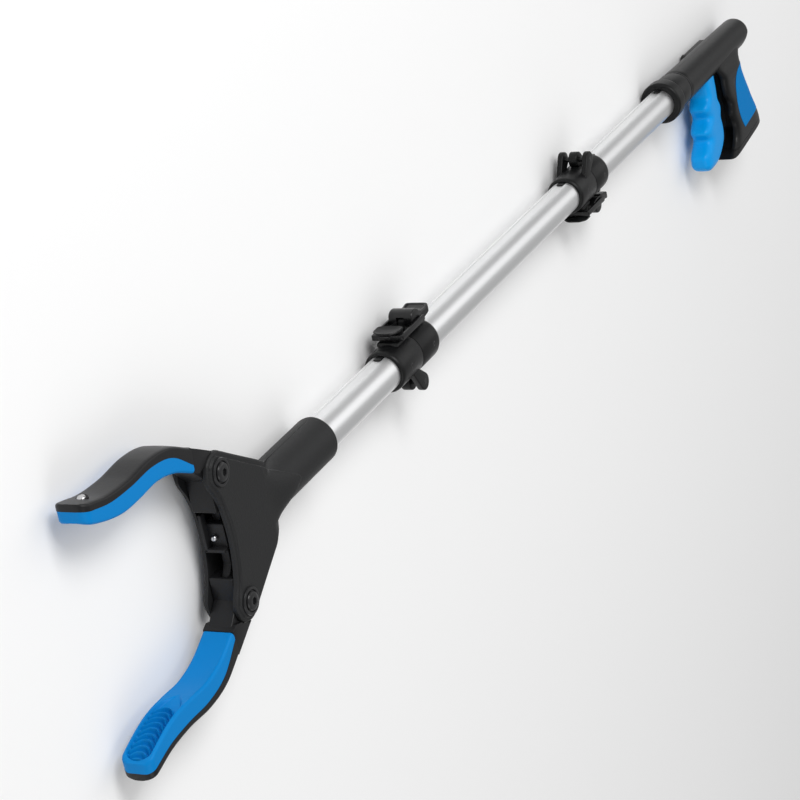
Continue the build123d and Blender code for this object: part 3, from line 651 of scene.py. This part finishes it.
def build_joints():
    """Both fold joints: hinge on one side, latch on the other."""
    collar_look(FRONT_JOINT, -1, -1, "front_hook_collar", "head")
    collar_look(FRONT_JOINT, 1, -1, "front_lever_collar", "middle")
    collar_look(REAR_JOINT, -1, 1, "rear_hook_collar", "middle")
    collar_look(REAR_JOINT, 1, 1, "rear_lever_collar", "handle")
    rivet_looks()
    pin_look("front_hinge_pin", FRONT_JOINT, -HINGE_OFFSET, PIN_HALF, PIN_R, "head")
    pin_look("rear_hinge_pin", REAR_JOINT, HINGE_OFFSET, PIN_HALF, PIN_R, "middle")
    pin_look("front_lever_pin", FRONT_JOINT + LEVER_DX, LEVER_DY, LEVER_PIN_HALF, LEVER_PIN_R, "middle")
    pin_look("rear_lever_pin", REAR_JOINT + LEVER_DX, -LEVER_DY, LEVER_PIN_HALF, LEVER_PIN_R, "handle")
    lever_look(FRONT_JOINT, 1, "front", "front_lever")
    lever_look(REAR_JOINT, -1, "rear", "rear_lever")
    bail_look(FRONT_JOINT, 1, "front", "front_bail")
    bail_look(REAR_JOINT, -1, "rear", "rear_bail")


# ------------------------------------------------------------------ head
PLATE_TOP = 9.0
PLATE_INNER = 6.6
PANEL_RISE = 1.0
SEAM = 0.08  # gap from the middle plane to each half
SLOPE = math.atan2(JAW_Y - 12.3, 46.0)
TAPER_START = (EAR_R * math.sin(SLOPE), JAW_Y + EAR_R * math.cos(SLOPE))


def mouth_curve(count):
    """Mouth edge from the lower ear corner to the upper one."""
    corner = (-7.84, JAW_Y + 5.88)
    half = catmull(
        ((-1.3, 0.0), (-1.75, 7.0), (-3.1, 15.0), (-5.6, 22.4), (-8.9, 28.4), (-9.8, 32.5), corner), 16
    )
    low = half[::-1] * np.array((1, -1))
    return resample(np.concatenate([low[:-1], half]), count)


def side_curve(count):
    """Outer edge from the upper ear corner to the neck rim."""
    start = math.degrees(math.atan2(5.88, -7.84))
    end = 90 - math.degrees(SLOPE)
    ear = arc(0, JAW_Y, EAR_R, start, end, 40)
    ease = catmull(
        (TAPER_START, (16.0, 33.7), (30.0, 24.8), (41.0, 17.9), (47.5, 14.3), (54.0, 12.5), (61.0, NECK_R)),
        12,
    )
    neck = np.array([(x, NECK_R) for x in np.linspace(62.0, NECK_END, 20)])
    return resample(np.concatenate([ear, ease[1:], neck]), count)


def edge_distance(flat, curves):
    """Distance of each point to the nearest of some open curves."""
    dist = np.full(len(flat), 1e9)
    for seg in curves:
        a, b = seg[:-1], seg[1:]
        ab = b - a
        for i in range(len(a)):
            t = np.clip(((flat - a[i]) @ ab[i]) / max(ab[i] @ ab[i], 1e-12), 0, 1)
            dist = np.minimum(dist, np.linalg.norm(flat - (a[i] + t[:, None] * ab[i]), axis=1))
    return dist


def thick_sheet(name, points, nu, nv, material):
    """Closed body between two matching grids of points, the outer grid first."""
    n = nu * nv
    faces = []
    for i in range(nu - 1):
        for j in range(nv - 1):
            a = i * nv + j
            faces.append((a, a + 1, a + nv + 1, a + nv))
            faces.append((n + a, n + a + nv, n + a + nv + 1, n + a + 1))
    for i in range(nu - 1):
        a = i * nv
        faces.append((a, a + nv, n + a + nv, n + a))
        a += nv - 1
        faces.append((a, n + a, n + a + nv, a + nv))
    for j in range(nv - 1):
        faces.append((j, n + j, n + j + 1, j + 1))
        a = (nu - 1) * nv + j
        faces.append((a, a + 1, n + a + 1, n + a))
    return mesh_object(name, points, faces, material)


def head_shell_look(side, name):
    """One side plate of the head, blended into its half of the neck sleeve."""
    nu, nv = 300, 150
    edge = side_curve(nu)
    mouth = mouth_curve(400)
    v = np.linspace(0, 1, nv)
    v = v - 0.099 * np.sin(2 * math.pi * v)
    mouth = np.stack([np.interp(v, np.linspace(0, 1, 400), mouth[:, k]) for k in (0, 1)], 1)
    rim = np.stack([np.full(nv, NECK_END), -NECK_R + 2 * NECK_R * v], 1)
    u = np.linspace(0, 1, nu)
    low = edge * np.array((1, -1))
    uu, vv = u[:, None, None], v[None, :, None]
    grid = (1 - vv) * low[:, None] + vv * edge[:, None] + (1 - uu) * mouth[None] + uu * rim[None]
    c00, c01 = mouth[0], mouth[-1]
    c10, c11 = rim[0], rim[-1]
    grid -= (1 - uu) * (1 - vv) * c00 + (1 - uu) * vv * c01 + uu * (1 - vv) * c10 + uu * vv * c11
    x, y = grid[..., 0], grid[..., 1]
    ahead = int(nu * 0.75)
    dist = edge_distance(grid.reshape(-1, 2), (mouth, edge[:ahead], low[:ahead])).reshape(x.shape)
    neck_mix = smoothstep(33.0, 57.0, x)
    round_r = 1.3
    inside = np.clip(dist, 0, round_r)
    plate = PLATE_TOP - (round_r - np.sqrt(np.maximum(round_r**2 - (round_r - inside) ** 2, 0)))
    end_drop = np.clip((x - (NECK_END - 1.0)), 0, 1.0)
    neck_r = NECK_R - 1.0 * (1 - np.sqrt(1 - end_drop**2 * 0.999))
    scale_y = np.clip(np.abs(y) / NECK_R, 0, 1)
    neck = neck_r * np.sqrt(np.maximum(1 - scale_y**2, 0))
    top = (1 - neck_mix) * plate + neck_mix * neck
    fall = (TAPER_START[1] - 12.6) / (49.0 - TAPER_START[0])
    line = TAPER_START[1] - (x - TAPER_START[0]) * fall - 3.4
    v_dist = (line - np.sqrt(y**2 + 2.2)) * 0.84
    inner_dist = np.where(x < 12, np.minimum(dist - 1.9, v_dist), v_dist)
    raise_mask = smoothstep(-0.25, 0.35, inner_dist)
    top = top + raise_mask * (PANEL_RISE - 0.45 * smoothstep(30.0, 60.0, x))
    top = np.maximum(top, SEAM)
    wall = (x > 15.0) & (dist < 3.2)
    inner_plate = np.where(wall, SEAM, PLATE_INNER)
    inner_neck = np.sqrt(np.maximum((TUBE_R + 0.05) ** 2 - y**2, SEAM**2))
    inner = np.where(neck_mix > 0.5, inner_neck, inner_plate)
    inner = np.minimum(inner, top - 0.001)
    inner = np.maximum(inner, SEAM)
    points = np.concatenate([np.stack([x, y, side * z], -1).reshape(-1, 3) for z in (top, inner)])
    obj = thick_sheet(name + "_look", points, nu, nv, "plate_black")
    place(smooth(obj, 40), "head", [name])


def pivot_looks():
    """Screws and nuts of the two jaw pivots."""
    screws, nuts = [], []
    for s in (1, -1):
        c = (0.0, s * JAW_Y)
        washer = [
            (0, 9.8), (6.7, 9.8), (6.75, 10.5), (6.5, 11.0), (5.9, 11.15), (5.3, 11.0), (5.0, 10.5),
            (4.9, 10.4), (0, 10.4),
        ]
        screws.append(lathe_z("washer", washer, c, "screw_black"))
        head = [(0, 10.3), (4.5, 10.3), (4.55, 11.2), (4.2, 11.8), (3.4, 12.15), (2.6, 12.2), (0, 12.2)]
        h = lathe_z("head", head, c, "screw_black")
        boolean(h, cut_block(hexagon(*c, 1.9, 12), 11.0, 13.0, "screw_black"))
        screws.append(bevel(h, 0.12, 2, 50))
        nut = [
            (0, -9.8), (6.7, -9.8), (6.75, -10.5), (6.5, -11.0), (5.6, -11.2), (5.2, -11.1), (4.9, -11.6),
            (4.2, -12.05), (2.6, -12.3), (0, -12.35),
        ]
        nuts.append(lathe_z("nut", nut, c, "screw_black"))
    put(screws, "jaw_pivot_screws", 30, "head")
    put(nuts, "jaw_pivot_nuts", 30, "head")


def build_head():
    """Side plates and jaw pivots."""
    head_shell_look(1, "head_shell_front")
    head_shell_look(-1, "head_shell_rear")
    pivot_looks()


# ------------------------------------------------------------------ jaws
JAW_OUTER = (
    (3.0, 8.4), (15.0, 19.0), (30.0, 26.6), (46.0, 29.0), (64.0, 28.0), (80.0, 29.0), (92.0, 31.8),
    (98.6, 33.4),
)
JAW_SPLIT = (
    (15.6, 11.0), (30.0, 21.6), (46.0, 25.2), (64.0, 24.8), (80.0, 25.6), (92.6, 28.4), (98.8, 30.2)
)
JAW_INNER = (
    (15.6, 7.0), (30.0, 14.0), (44.0, 17.0), (58.0, 16.4), (70.0, 16.3), (80.0, 17.9), (92.0, 21.6),
    (98.8, 24.6),
)
JAW_HALF = 8.0
TIP_CORNER = 4.4
ROOT_HALF = 6.2
DISH_FROM = 0.47
DISH_DEPTH = 3.0
DISH_HALF = 6.5
DISH_CAP = 5.2
DISH_RIM = 1.3
RIDGES_FROM = 0.60
RIDGE_PITCH = 3.35
RIDGE_SPAN = 11.2
RIDGE_HEIGHT = 2.7


def jaw_width(run, total):
    """Half width along the jaw, rounded off at the tip."""
    left = total - run
    if left >= TIP_CORNER:
        return JAW_HALF
    return JAW_HALF - TIP_CORNER + math.sqrt(max(TIP_CORNER**2 - (TIP_CORNER - left) ** 2, 0.0))


def jaw_section(start, direction, loop, sign):
    """One cross-section of a jaw from (across, up) pairs, in the tool frame."""
    spots = [(start + direction * h, z) for z, h in loop]
    return [(-p[0], sign * (JAW_Y + p[1]), z) for p, z in spots]


def pad_look(sign, name, body):
    """Rubber pad with a dished end and curved ridges."""
    n_long, n_across = 420, 96
    split = resample(catmull(JAW_SPLIT, 16), n_long)
    inner = resample(catmull(JAW_INNER, 16), n_long)
    run = np.concatenate([[0], np.cumsum(np.linalg.norm(np.diff(inner, axis=0), axis=1))])
    total = run[-1]
    sections = []
    for i in range(n_long):
        s = run[i]
        half = max(jaw_width(s, total), 0.6)
        start = float(smoothstep(0.0, 1.2, s))
        rise = inner[i] - split[i]
        depth = np.linalg.norm(rise)
        direction = rise / depth
        corner = 1.5
        across = [(-half, 0.0), (-half, depth * 0.5)]
        across.extend(arc(-half + corner, depth - corner, corner, 180, 90, 8))
        zs = np.linspace(-half + corner, half - corner, n_across)[1:-1]
        reach = (s - DISH_FROM * total) / ((1 - DISH_FROM) * total)
        fade = 1.0 if reach < 0 else max(0.0, 1 - reach * 4)
        for z in zs:
            dish = 0.0
            if reach > 0:
                tip_left = total - s
                wide = DISH_HALF * float(smoothstep(-0.05, 0.28, reach))
                if tip_left < DISH_CAP + DISH_RIM:
                    k = max((tip_left - DISH_RIM) / DISH_CAP, 0.0)
                    wide = wide * math.sqrt(max(1 - (1 - k) ** 2, 0.0))
                wall = wide - abs(z)
                if wide > 0.3:
                    floor = float(smoothstep(-0.2, 1.3, wall))
                    dish = floor * DISH_DEPTH * float(smoothstep(0.0, 0.35, reach))
                    bow = s - 0.16 * z * z + 0.1 * abs(z)
                    phase = (bow - RIDGES_FROM * total) / RIDGE_PITCH
                    if 0 <= phase < RIDGE_SPAN and wall > 0.4:
                        saw = phase - math.floor(phase)
                        ridge = math.exp(-(((saw - 0.5) / 0.2) ** 2))
                        dish -= RIDGE_HEIGHT * ridge * float(smoothstep(0.3, 1.6, wall))
            shallow = 0.35 * (1 - (z / JAW_HALF) ** 2) * float(smoothstep(0.05, 0.25, s / total))
            across.append((z, depth - max(dish, 0.0) - shallow * fade))
        across.extend(arc(half - corner, depth - corner, corner, 90, 0, 8))
        across.extend([(half, depth * 0.5), (half, 0.0)])
        pull = 1.0 - 0.35 * (1 - start)
        end_round = float(smoothstep(0.0, 2.4, total - s))
        scale = pull * (0.9 + 0.1 * end_round)
        loop = [(z, max(h * scale, 0.0)) for z, h in across]
        sections.append(jaw_section(split[i], direction, loop, sign))
    obj = loft(name + "_jaw_pad_look", sections, "pad_blue")
    place(smooth(obj, 48), body, [name + "_jaw_pad"])


def arm_look(sign, name, body):
    """Back of a jaw with its root, forked tail and magnet."""
    n_long = 160
    outer = resample(catmull(JAW_OUTER[1:], 16), n_long)
    split = resample(catmull(JAW_SPLIT, 16), n_long)
    run = np.concatenate([[0], np.cumsum(np.linalg.norm(np.diff(split, axis=0), axis=1))])
    sections = []
    for i in range(n_long):
        half = max(jaw_width(run[i], run[-1]), 0.7) + 0.12
        rise = outer[i] - split[i]
        depth = np.linalg.norm(rise)
        direction = rise / depth
        corner = min(1.3, depth * 0.45, half * 0.9)
        loop = [(-half, -0.01), (-half, depth - corner)]
        loop.extend(arc(-half + corner, depth - corner, corner, 170, 100, 5))
        for z in np.linspace(-half + corner, half - corner, 12):
            loop.append((z, depth + 0.35 * (1 - (z / half) ** 2)))
        loop.extend(arc(half - corner, depth - corner, corner, 80, 10, 5))
        loop.extend([(half, depth - corner), (half, -0.01)])
        sections.append(jaw_section(split[i], direction, loop, sign))
    parts = [loft("back", sections, "jaw_black")]

    def at(points):
        return [(-a, sign * (JAW_Y + b)) for a, b in points]

    root = hull_outline([(0, 0, 5.4), (12.6, 11.0, 4.4), (7.0, 8.8, 3.8), (15.5, 14.4, 4.6)])
    parts.append(prism("root", at(root), -ROOT_HALF, ROOT_HALF, "jaw_black", rim=0.6, angle=50))
    shoulder = np.concatenate(
        [arc(0, 0, 10.35, 42, 92, 14), [(2.0, 11.6), (9.0, 15.6), (15.6, 19.3), (16.2, 7.2), (12.6, 5.6)]]
    )
    parts.append(prism("step", at(shoulder), -8.05, 8.05, "jaw_black", rim=0.5, angle=50))
    tail = 18.6 if sign > 0 else 13.4
    fork = at(hull_outline([(0, 0, 5.2), (4.0, 1.0 - tail, 1.0), (-2.2, 1.0 - tail, 1.0)]))
    clevis = prism("tail", fork, -ROOT_HALF, ROOT_HALF, "jaw_black", rim=0.6, angle=50)
    gap = at(rectangle(-11.0, -25.0, 3.05, -5.3))
    boolean(clevis, cut_block(gap, -2.6, 2.6, "jaw_black"))
    slot = np.concatenate([arc(-0.08, -7.65, 1.65, 0, 180, 12), arc(-0.08, -9.85, 1.65, 180, 360, 12)])
    boolean(clevis, cut_block(at(slot), -9, 9, "jaw_black"))
    parts.append(clevis)
    put(parts, name + "_jaw_arm", 35, body)

    magnet_look(sign, name, body)


def magnet_look(sign, name, body):
    """Small domed magnet in a ring on the back of a jaw."""
    spot = np.array((-88.0, sign * (JAW_Y + 30.4), 0.0))
    normal = np.array((-0.23, sign * 0.973, 0.0))
    normal /= np.linalg.norm(normal)
    along = np.array((-normal[1], normal[0], 0.0))
    turn = np.linspace(0, 2 * math.pi, 48, endpoint=False)
    discs = []
    ring_shape = ((3.0, 0.0), (3.0, 0.75), (2.7, 1.0), (2.35, 1.0), (2.3, 0.8), (0.05, 0.8))
    dome_shape = ((1.95, 0.7), (1.95, 1.25), (1.8, 1.55), (1.4, 1.8), (0.8, 1.95), (0.05, 2.0))
    for shape, material in ((ring_shape, "jaw_black"), (dome_shape, "magnet")):
        rings = []
        for r, h in shape:
            rings.append(
                spot + normal * h + r * (
                    np.cos(turn)[:, None] * along + np.sin(turn)[:, None] * np.array((0, 0, 1.0))
                )
            )
        discs.append(loft("disc", rings, material))
    put(discs, name + "_jaw_magnet", 40, body)


def pull_block_look():
    """Block that works the jaw tails, and the ball on the end of the cable."""
    parts = []
    dy = JAW_Y - 8.0  # drive pins
    for s in (1, -1):
        spine = [
            (-2.0, dy), (-2.0, 23.2), (3.4, 16.0), (3.4, 0.0), (8.6, 0.0), (8.6, 17.0), (2.4, 23.5),
            (2.4, dy), (1.7, dy + 1.7), (0.0, dy + 2.4), (-1.7, dy + 1.7),
        ]
        parts.append(prism("spine", [(x, s * y) for x, y in spine], -2.15, 2.15, "nylon_dark", rim=0.3))
    core = rounded_polygon(rectangle(-0.5, -6.5, 14.0, 6.5), 0.6, 4)
    parts.append(prism("core", core, -5.0, 5.0, "nylon_dark", rim=0.4))
    foot = rounded_polygon(rectangle(-4.0, -6.5, 0.0, -4.9), 0.4, 3)
    parts.append(prism("foot", foot, -5.0, 5.0, "nylon_dark", rim=0.25))
    wall = rounded_polygon(rectangle(-4.0, -6.5, 0.0, 12.2), 0.6, 3)
    parts.append(prism("wall", wall, -5.0, -3.6, "nylon_dark", rim=0.25))
    bore = [(3.0, 0.0), (3.0, 1.6), (18.0, 1.6), (18.0, 0.0)]
    for piece in parts[:3]:
        boolean(piece, lathe_x("bore", bore, "nylon_dark", 32))
    put(parts, "pull_block", 32, "pull_block")
    prof = arc(0, 0, 1.5, 90, -90, 24)
    ball = lathe_z("cable_ball_look", prof, (-2.1, 0.0), "steel", 36)
    place(smooth(ball, 60), "pull_block", ["cable_ball"])


def build_jaws():
    """Both jaws and the block that works them."""
    for name, sign, body in (("upper", 1, "upper_jaw"), ("lower", -1, "lower_jaw")):
        pad_look(sign, name, body)
        arm_look(sign, name, body)
    pull_block_look()


# ------------------------------------------------------------------ handle
def nose_look():
    """Stepped ring at the front of the handle."""
    p = [(NOSE_START, TUBE_R + 0.03), (NOSE_START, 12.0)]
    for t in np.radians(np.linspace(0, 90, 9)):
        p.append((NOSE_START + 1.9 - 1.9 * math.cos(t), 12.0 + 1.9 * math.sin(t)))
    for t in np.radians(np.linspace(0, 80, 9)):
        p.append((NOSE_START + FLANGE_LEN - 3.0 + 2.8 * math.sin(t), 11.9 + 2.0 * math.cos(t)))
    p.extend(
        [
            (NOSE_START + FLANGE_LEN, 12.0),
            (NOSE_START + FLANGE_LEN + 0.6, 11.9),
            (NOSE_START + FLANGE_LEN + 1.0, 12.25),
            (NOSE_START + FLANGE_LEN + 1.6, 12.35),
            (BARREL_START - 3.6, 12.2),
            (BARREL_START - 3.0, 12.1),
            (BARREL_START - 2.6, 11.8),
            (BARREL_START - 2.2, 11.8),
            (BARREL_START - 1.8, 12.1),
            (BARREL_START - 0.6, 12.0),
            (BARREL_START - 0.3, 11.6),
            (BARREL_START - 0.3, TUBE_R + 0.03),
        ]
    )
    ring = lathe_x("nose_ring_look", p, "shell_black", 128)
    tab = groove_key(NOSE_START, -1)
    place(smooth(join([ring, tab], "nose_ring_look"), 35), "handle", ["nose_ring"])


GRIP_REAR = (
    (-2.0, 757.0), (-4.0, 756.0), (-9.0, 749.0), (-15.0, 746.5), (-24.0, 750.0), (-41.0, 760.0),
    (-57.0, 771.0), (-64.5, 774.0), (-70.0, 775.5),
)
GRIP_FRONT = (
    (-2.0, 697.0), (-6.0, 700.0), (-13.5, 706.0), (-20.0, 707.0), (-26.5, 709.0), (-34.3, 714.4),
    (-42.0, 714.4), (-51.0, 718.2), (-59.7, 716.5), (-65.6, 711.5), (-72.0, 704.0), (-76.0, 700.0),
)
INSERT_FRONT = (
    (742.0, -13.0), (731.0, -16.0), (724.5, -22.5), (722.5, -33.0), (723.5, -42.5), (727.0, -51.0),
    (731.5, -57.5),
)
CHANNEL = (
    (676.0, 0.0), (722.0, 0.0), (724.0, -12.0), (727.5, -30.0), (728.5, -48.0), (728.5, -56.0),
    (722.0, -63.5), (712.0, -67.5), (704.0, -70.5), (690.0, -78.0), (650.0, -80.0), (650.0, -14.0),
    (676.0, -13.5),
)
BASE_HEEL, BASE_TOE = (774.0, -64.5), (704.0, -72.0)


def along_y(points, y):
    """Distance along the tool of an edge at one depth of the grip."""
    c = catmull(points, 16)
    order = np.argsort(c[:, 0])
    return float(np.interp(y, c[order, 0], c[order, 1]))


def grip_solid(name, grow, material, y_top=-2.0, y_low=-73.5):
    """Grip body as a stack of rounded sections."""
    sections = []
    for y in np.linspace(y_top, y_low, 150):
        back = along_y(GRIP_REAR, max(y, -69.9)) + grow
        front = along_y(GRIP_FRONT, max(y, -75.9)) - grow
        wide = (GRIP_HALF + grow) * (0.80 + 0.20 * float(smoothstep(-3.0, -15.0, y)))
        cx, rx = (front + back) / 2, (back - front) / 2
        sections.append([(cx + a, y, z) for a, z in squircle(rx, wide, 9.0, 4.0, 160)])
    solid = loft(name, sections, material)
    beyond = (BASE_HEEL[0] + 28, BASE_HEEL[1] + 3.0)
    below = [BASE_HEEL, beyond, (802, -110), (676, -110), (676, -75.0), BASE_TOE]
    return boolean(solid, cut_block(below, -WIDE, WIDE, material))


def half_space(side, keep_gap=0.05):
    """Big block covering the other half."""
    z0, z1 = (-60.0, keep_gap) if side > 0 else (-keep_gap, 60.0)
    return cut_block(rectangle(580, -130, 820, 60), z0, z1)


def barrel_profile():
    """Barrel radius along its length, with a rounded rear end."""
    prof = [(BARREL_START, TUBE_R + 0.03), (BARREL_START, 11.7), (BARREL_START + 0.5, 11.9)]
    for x in np.linspace(BARREL_START + 4, BARREL_END - 8, 20):
        prof.append((x, 11.9 - 1.7 * (x - BARREL_START) / (BARREL_END - BARREL_START)))
    r_end = 10.25
    for t in np.radians(np.linspace(8, 88, 14)):
        prof.append((BARREL_END - 7.0 + 7.0 * math.sin(t), r_end - 7.0 + 7.0 * math.cos(t)))
    prof.append((BARREL_END + 0.02, 0.05))
    return prof


def channel_cutter():
    """Space behind the trigger."""
    return cut_block(CHANNEL, -CHANNEL_HALF, CHANNEL_HALF)


def butt_block(top):
    """Everything below the slanted parting line of the butt cap."""
    outline = [(670, -120), (820, -120), (820, top), (670, top - 16.0)]
    return cut_block(outline, -WIDE, WIDE)


def insert_cutter(grow, material):
    """Rear of the grip, and a thin panel on each flank beside the channel."""
    front = catmull(INSERT_FRONT, 10) + np.array((-grow, 0.0))
    outline = np.concatenate([front, [(770.0, -52.5 - grow), (792.0, -44.0 - grow), (766.0, -13.0 + grow)]])
    block = cut_block(outline, -WIDE, WIDE, material)
    core = cut_block(rectangle(690, 10, 731.0 - grow, -70), grow - 10.0, 10.0 - grow, material)
    return boolean(block, core)


def handle_shell_look(side, name):
    """One half of the barrel and grip."""
    barrel = lathe_x("barrel", barrel_profile(), "shell_black", 160, closed=False)
    grip = grip_solid("grip", 0.0, "shell_black")
    boolean(grip, insert_cutter(0.3, "shell_black"))
    boolean(grip, channel_cutter())
    boolean(grip, butt_block(-55.6))
    boolean(grip, half_space(side))
    boolean(barrel, half_space(side))
    slant = cut_block([(780.0, 9.0), (756.0, -13.0), (790.0, -30.0), (800.0, 9.0)], -WIDE, WIDE)
    boolean(barrel, slant)
    slot_cut = cut_block(rectangle(664, 0.0, 721, -16.0), -CHANNEL_HALF, CHANNEL_HALF)
    boolean(barrel, slot_cut)
    parts = [bevel(barrel, 1.6, 5, 50), bevel(grip, 0.3, 2, 45)]
    if side < 0:
        stadium = np.concatenate(
            [arc(*REAR_SCREW, 6.4, -90, 90, 16), arc(TRIGGER_PIVOT[0], REAR_SCREW[1], 6.4, 90, 270, 16)]
        )
        parts.append(prism("panel", stadium, -11.75, -8.0, "shell_black", rim=0.3))
    put(parts, name, 35, "handle")


def insert_look():
    """Blue panel at the back of the grip."""
    body = grip_solid("insert", 0.15, "insert_blue")
    boolean(body, insert_cutter(0.0, "insert_blue"), "INTERSECT")
    bevel(body, 0.4, 3, 50)
    body.name = "grip_insert_look"
    place(smooth(body, 40), "handle", ["grip_insert"])


def butt_look():
    """Cap at the foot of the grip."""
    cap = grip_solid("butt", 0.0, "shell_black")
    boolean(cap, butt_block(-55.9), "INTERSECT")
    boolean(cap, channel_cutter())
    bevel(cap, 0.35, 3, 45)
    heel, toe = np.array(BASE_HEEL), np.array(BASE_TOE)
    run = np.linalg.norm(heel - toe)
    d = (heel - toe) / run
    n = np.array((d[1], -d[0]))
    sections = []
    for h, shrink in ((-1.0, 3.0), (0.7, 3.0), (1.05, 3.25), (1.2, 3.7)):
        loop = []
        for a, z in squircle(run / 2 - shrink, GRIP_HALF + 0.5 - shrink, 7, 7, 120):
            p = (heel + toe) / 2 + d * a + n * h
            loop.append((p[0], p[1], z))
        sections.append(loop)
    foot = loft("foot", sections, "shell_black")
    put([cap, foot], "butt_cap", 35, "handle")


TRIGGER_FRONT = (
    (-7.0, 680.2), (-8.0, 680.5), (-14.0, 682.5), (-20.5, 682.5), (-27.0, 677.0), (-34.5, 680.5),
    (-42.0, 672.5), (-49.0, 675.5), (-57.0, 666.5), (-62.5, 666.0), (-66.0, 667.4), (-68.4, 670.6),
    (-69.4, 674.6),
)
TRIGGER_REAR = (
    (-7.0, 698.0), (-8.0, 698.0), (-17.0, 699.0), (-25.0, 700.0), (-32.0, 704.0), (-39.0, 702.5),
    (-45.5, 704.0), (-53.5, 704.0), (-58.5, 700.0), (-62.5, 693.0), (-66.0, 686.0), (-68.4, 679.6),
    (-69.4, 675.4),
)


def trigger_look():
    """Four-finger trigger."""
    sections = []
    for y in np.concatenate([np.linspace(-8.0, -62, 150), np.linspace(-62.3, -69.35, 50)]):
        front = along_y(TRIGGER_FRONT, y)
        back = along_y(TRIGGER_REAR, y)
        cx, rx = (front + back) / 2, max((back - front) / 2, 0.15)
        low = float(np.clip((69.4 + y) / 7.0, 0, 1))
        wide = 7.9 * (0.3 + 0.7 * math.sqrt(max(1 - (1 - low) ** 2, 0.0)))
        sections.append([(cx + a, y, z) for a, z in squircle(rx, wide, 3.6, 6.0, 120)])
    body = loft("body", sections, "trigger_blue")
    hub = hull_outline(
        [(TRIGGER_PIVOT[0], TRIGGER_PIVOT[1], 3.6), (684.5, -10.5, 2.0), (696.5, -12.0, 2.0)]
    )
    parts = [body, prism("hub", hub, -4.3, 4.3, "trigger_blue", rim=0.4)]
    put(parts, "trigger", 42, "trigger")


def handle_screw_looks():
    """Two domed screws in the recess of the handle."""
    parts = []
    for x, y in (TRIGGER_PIVOT, REAR_SCREW):
        head = [
            (0, -11.5), (3.6, -11.5), (3.65, -12.2), (3.3, -12.8), (2.4, -13.2), (1.5, -13.3), (0, -13.3)
        ]
        h = lathe_z("head", head, (x, y), "screw_black", 48)
        boolean(h, cut_block(hexagon(x, y, 1.4, 0), -14.3, -12.5, "screw_black"))
        parts.append(h)
    put(parts, "handle_screws", 30, "handle")


def build_handle():
    """Everything behind the rear tube."""
    nose_look()
    handle_shell_look(1, "handle_shell_left")
    handle_shell_look(-1, "handle_shell_right")
    insert_look()
    butt_look()
    trigger_look()
    handle_screw_looks()


def dress_cad():
    """Material for every CAD node that is still shown."""
    slots = {s["node"]: s["material_slot"] for s in frame["record"]["subparts"]}
    for node, obj in frame["nodes"].items():
        obj.data.materials.clear()
        obj.data.materials.append(MATS[slots[node]])


# ------------------------------------------------------------------ stage, lights, camera
def soft_light(name, position, target, size, power):
    """Rectangular light aimed at a point."""
    data = bpy.data.lights.new(name, "AREA")
    data.shape = "RECTANGLE"
    data.size, data.size_y = size
    data.energy = power
    obj = bpy.data.objects.new(name, data)
    bpy.context.scene.collection.objects.link(obj)
    obj.location = position
    aim = Vector(target) - Vector(position)
    obj.rotation_euler = aim.to_track_quat("-Z", "Y").to_euler()
    return obj


def build_stage():
    """Pale floor, even surroundings and three soft lights."""
    mesh = bpy.data.meshes.new("floor")
    size = 9.0
    mesh.from_pydata(
        [(-size, -size, 0), (size, -size, 0), (size, size, 0), (-size, size, 0)], [], [(0, 1, 2, 3)]
    )
    floor = bpy.data.objects.new("floor", mesh)
    bpy.context.scene.collection.objects.link(floor)
    floor.location.z = -0.0005
    mesh.materials.append(principled("floor_pale", (0.92, 0.92, 0.92), 0.9, spec=0.0)[0])
    world = bpy.data.worlds.new("studio")
    bpy.context.scene.world = world
    world.use_nodes = True
    back = world.node_tree.nodes["Background"]
    back.inputs["Color"].default_value = (1.0, 1.0, 1.0, 1.0)
    back.inputs["Strength"].default_value = 0.42
    soft_light("strip", (0.95, 0.42, 1.05), (0.95, 0.0, 0.0), (2.9, 0.95), 6.5)
    soft_light("key", (-0.75, 1.45, 1.25), (-0.05, 0.0, 0.0), (0.9, 0.7), 22.0)
    soft_light("fill", (-1.3, -0.9, 0.9), (-0.1, 0.0, 0.0), (1.0, 1.0), 5.0)


def build_camera():
    """Long lens from the jaw end, above and to the front."""
    data = bpy.data.cameras.new("camera")
    data.lens = 108.08
    data.sensor_width = 36.0
    data.clip_end = 50.0
    cam = bpy.data.objects.new("camera", data)
    bpy.context.scene.collection.objects.link(cam)
    right = Vector((0.41483, -0.18157, 0.8916))
    up = Vector((0.41821, 0.9083, -0.00961))
    forward = Vector((0.8081, -0.37686, -0.45272))
    turn = Matrix((right, up, -forward)).transposed().to_4x4()
    spot = (np.array((-813.935, 448.295, 562.7)) + SHIFT) * MM
    cam.matrix_world = Matrix.Translation(tuple(spot)) @ turn
    bpy.context.scene.camera = cam
    bpy.context.scene.view_settings.view_transform = "Standard"


dress_cad()
build_tubes()
build_joints()
build_head()
build_jaws()
build_handle()
build_stage()
build_camera()
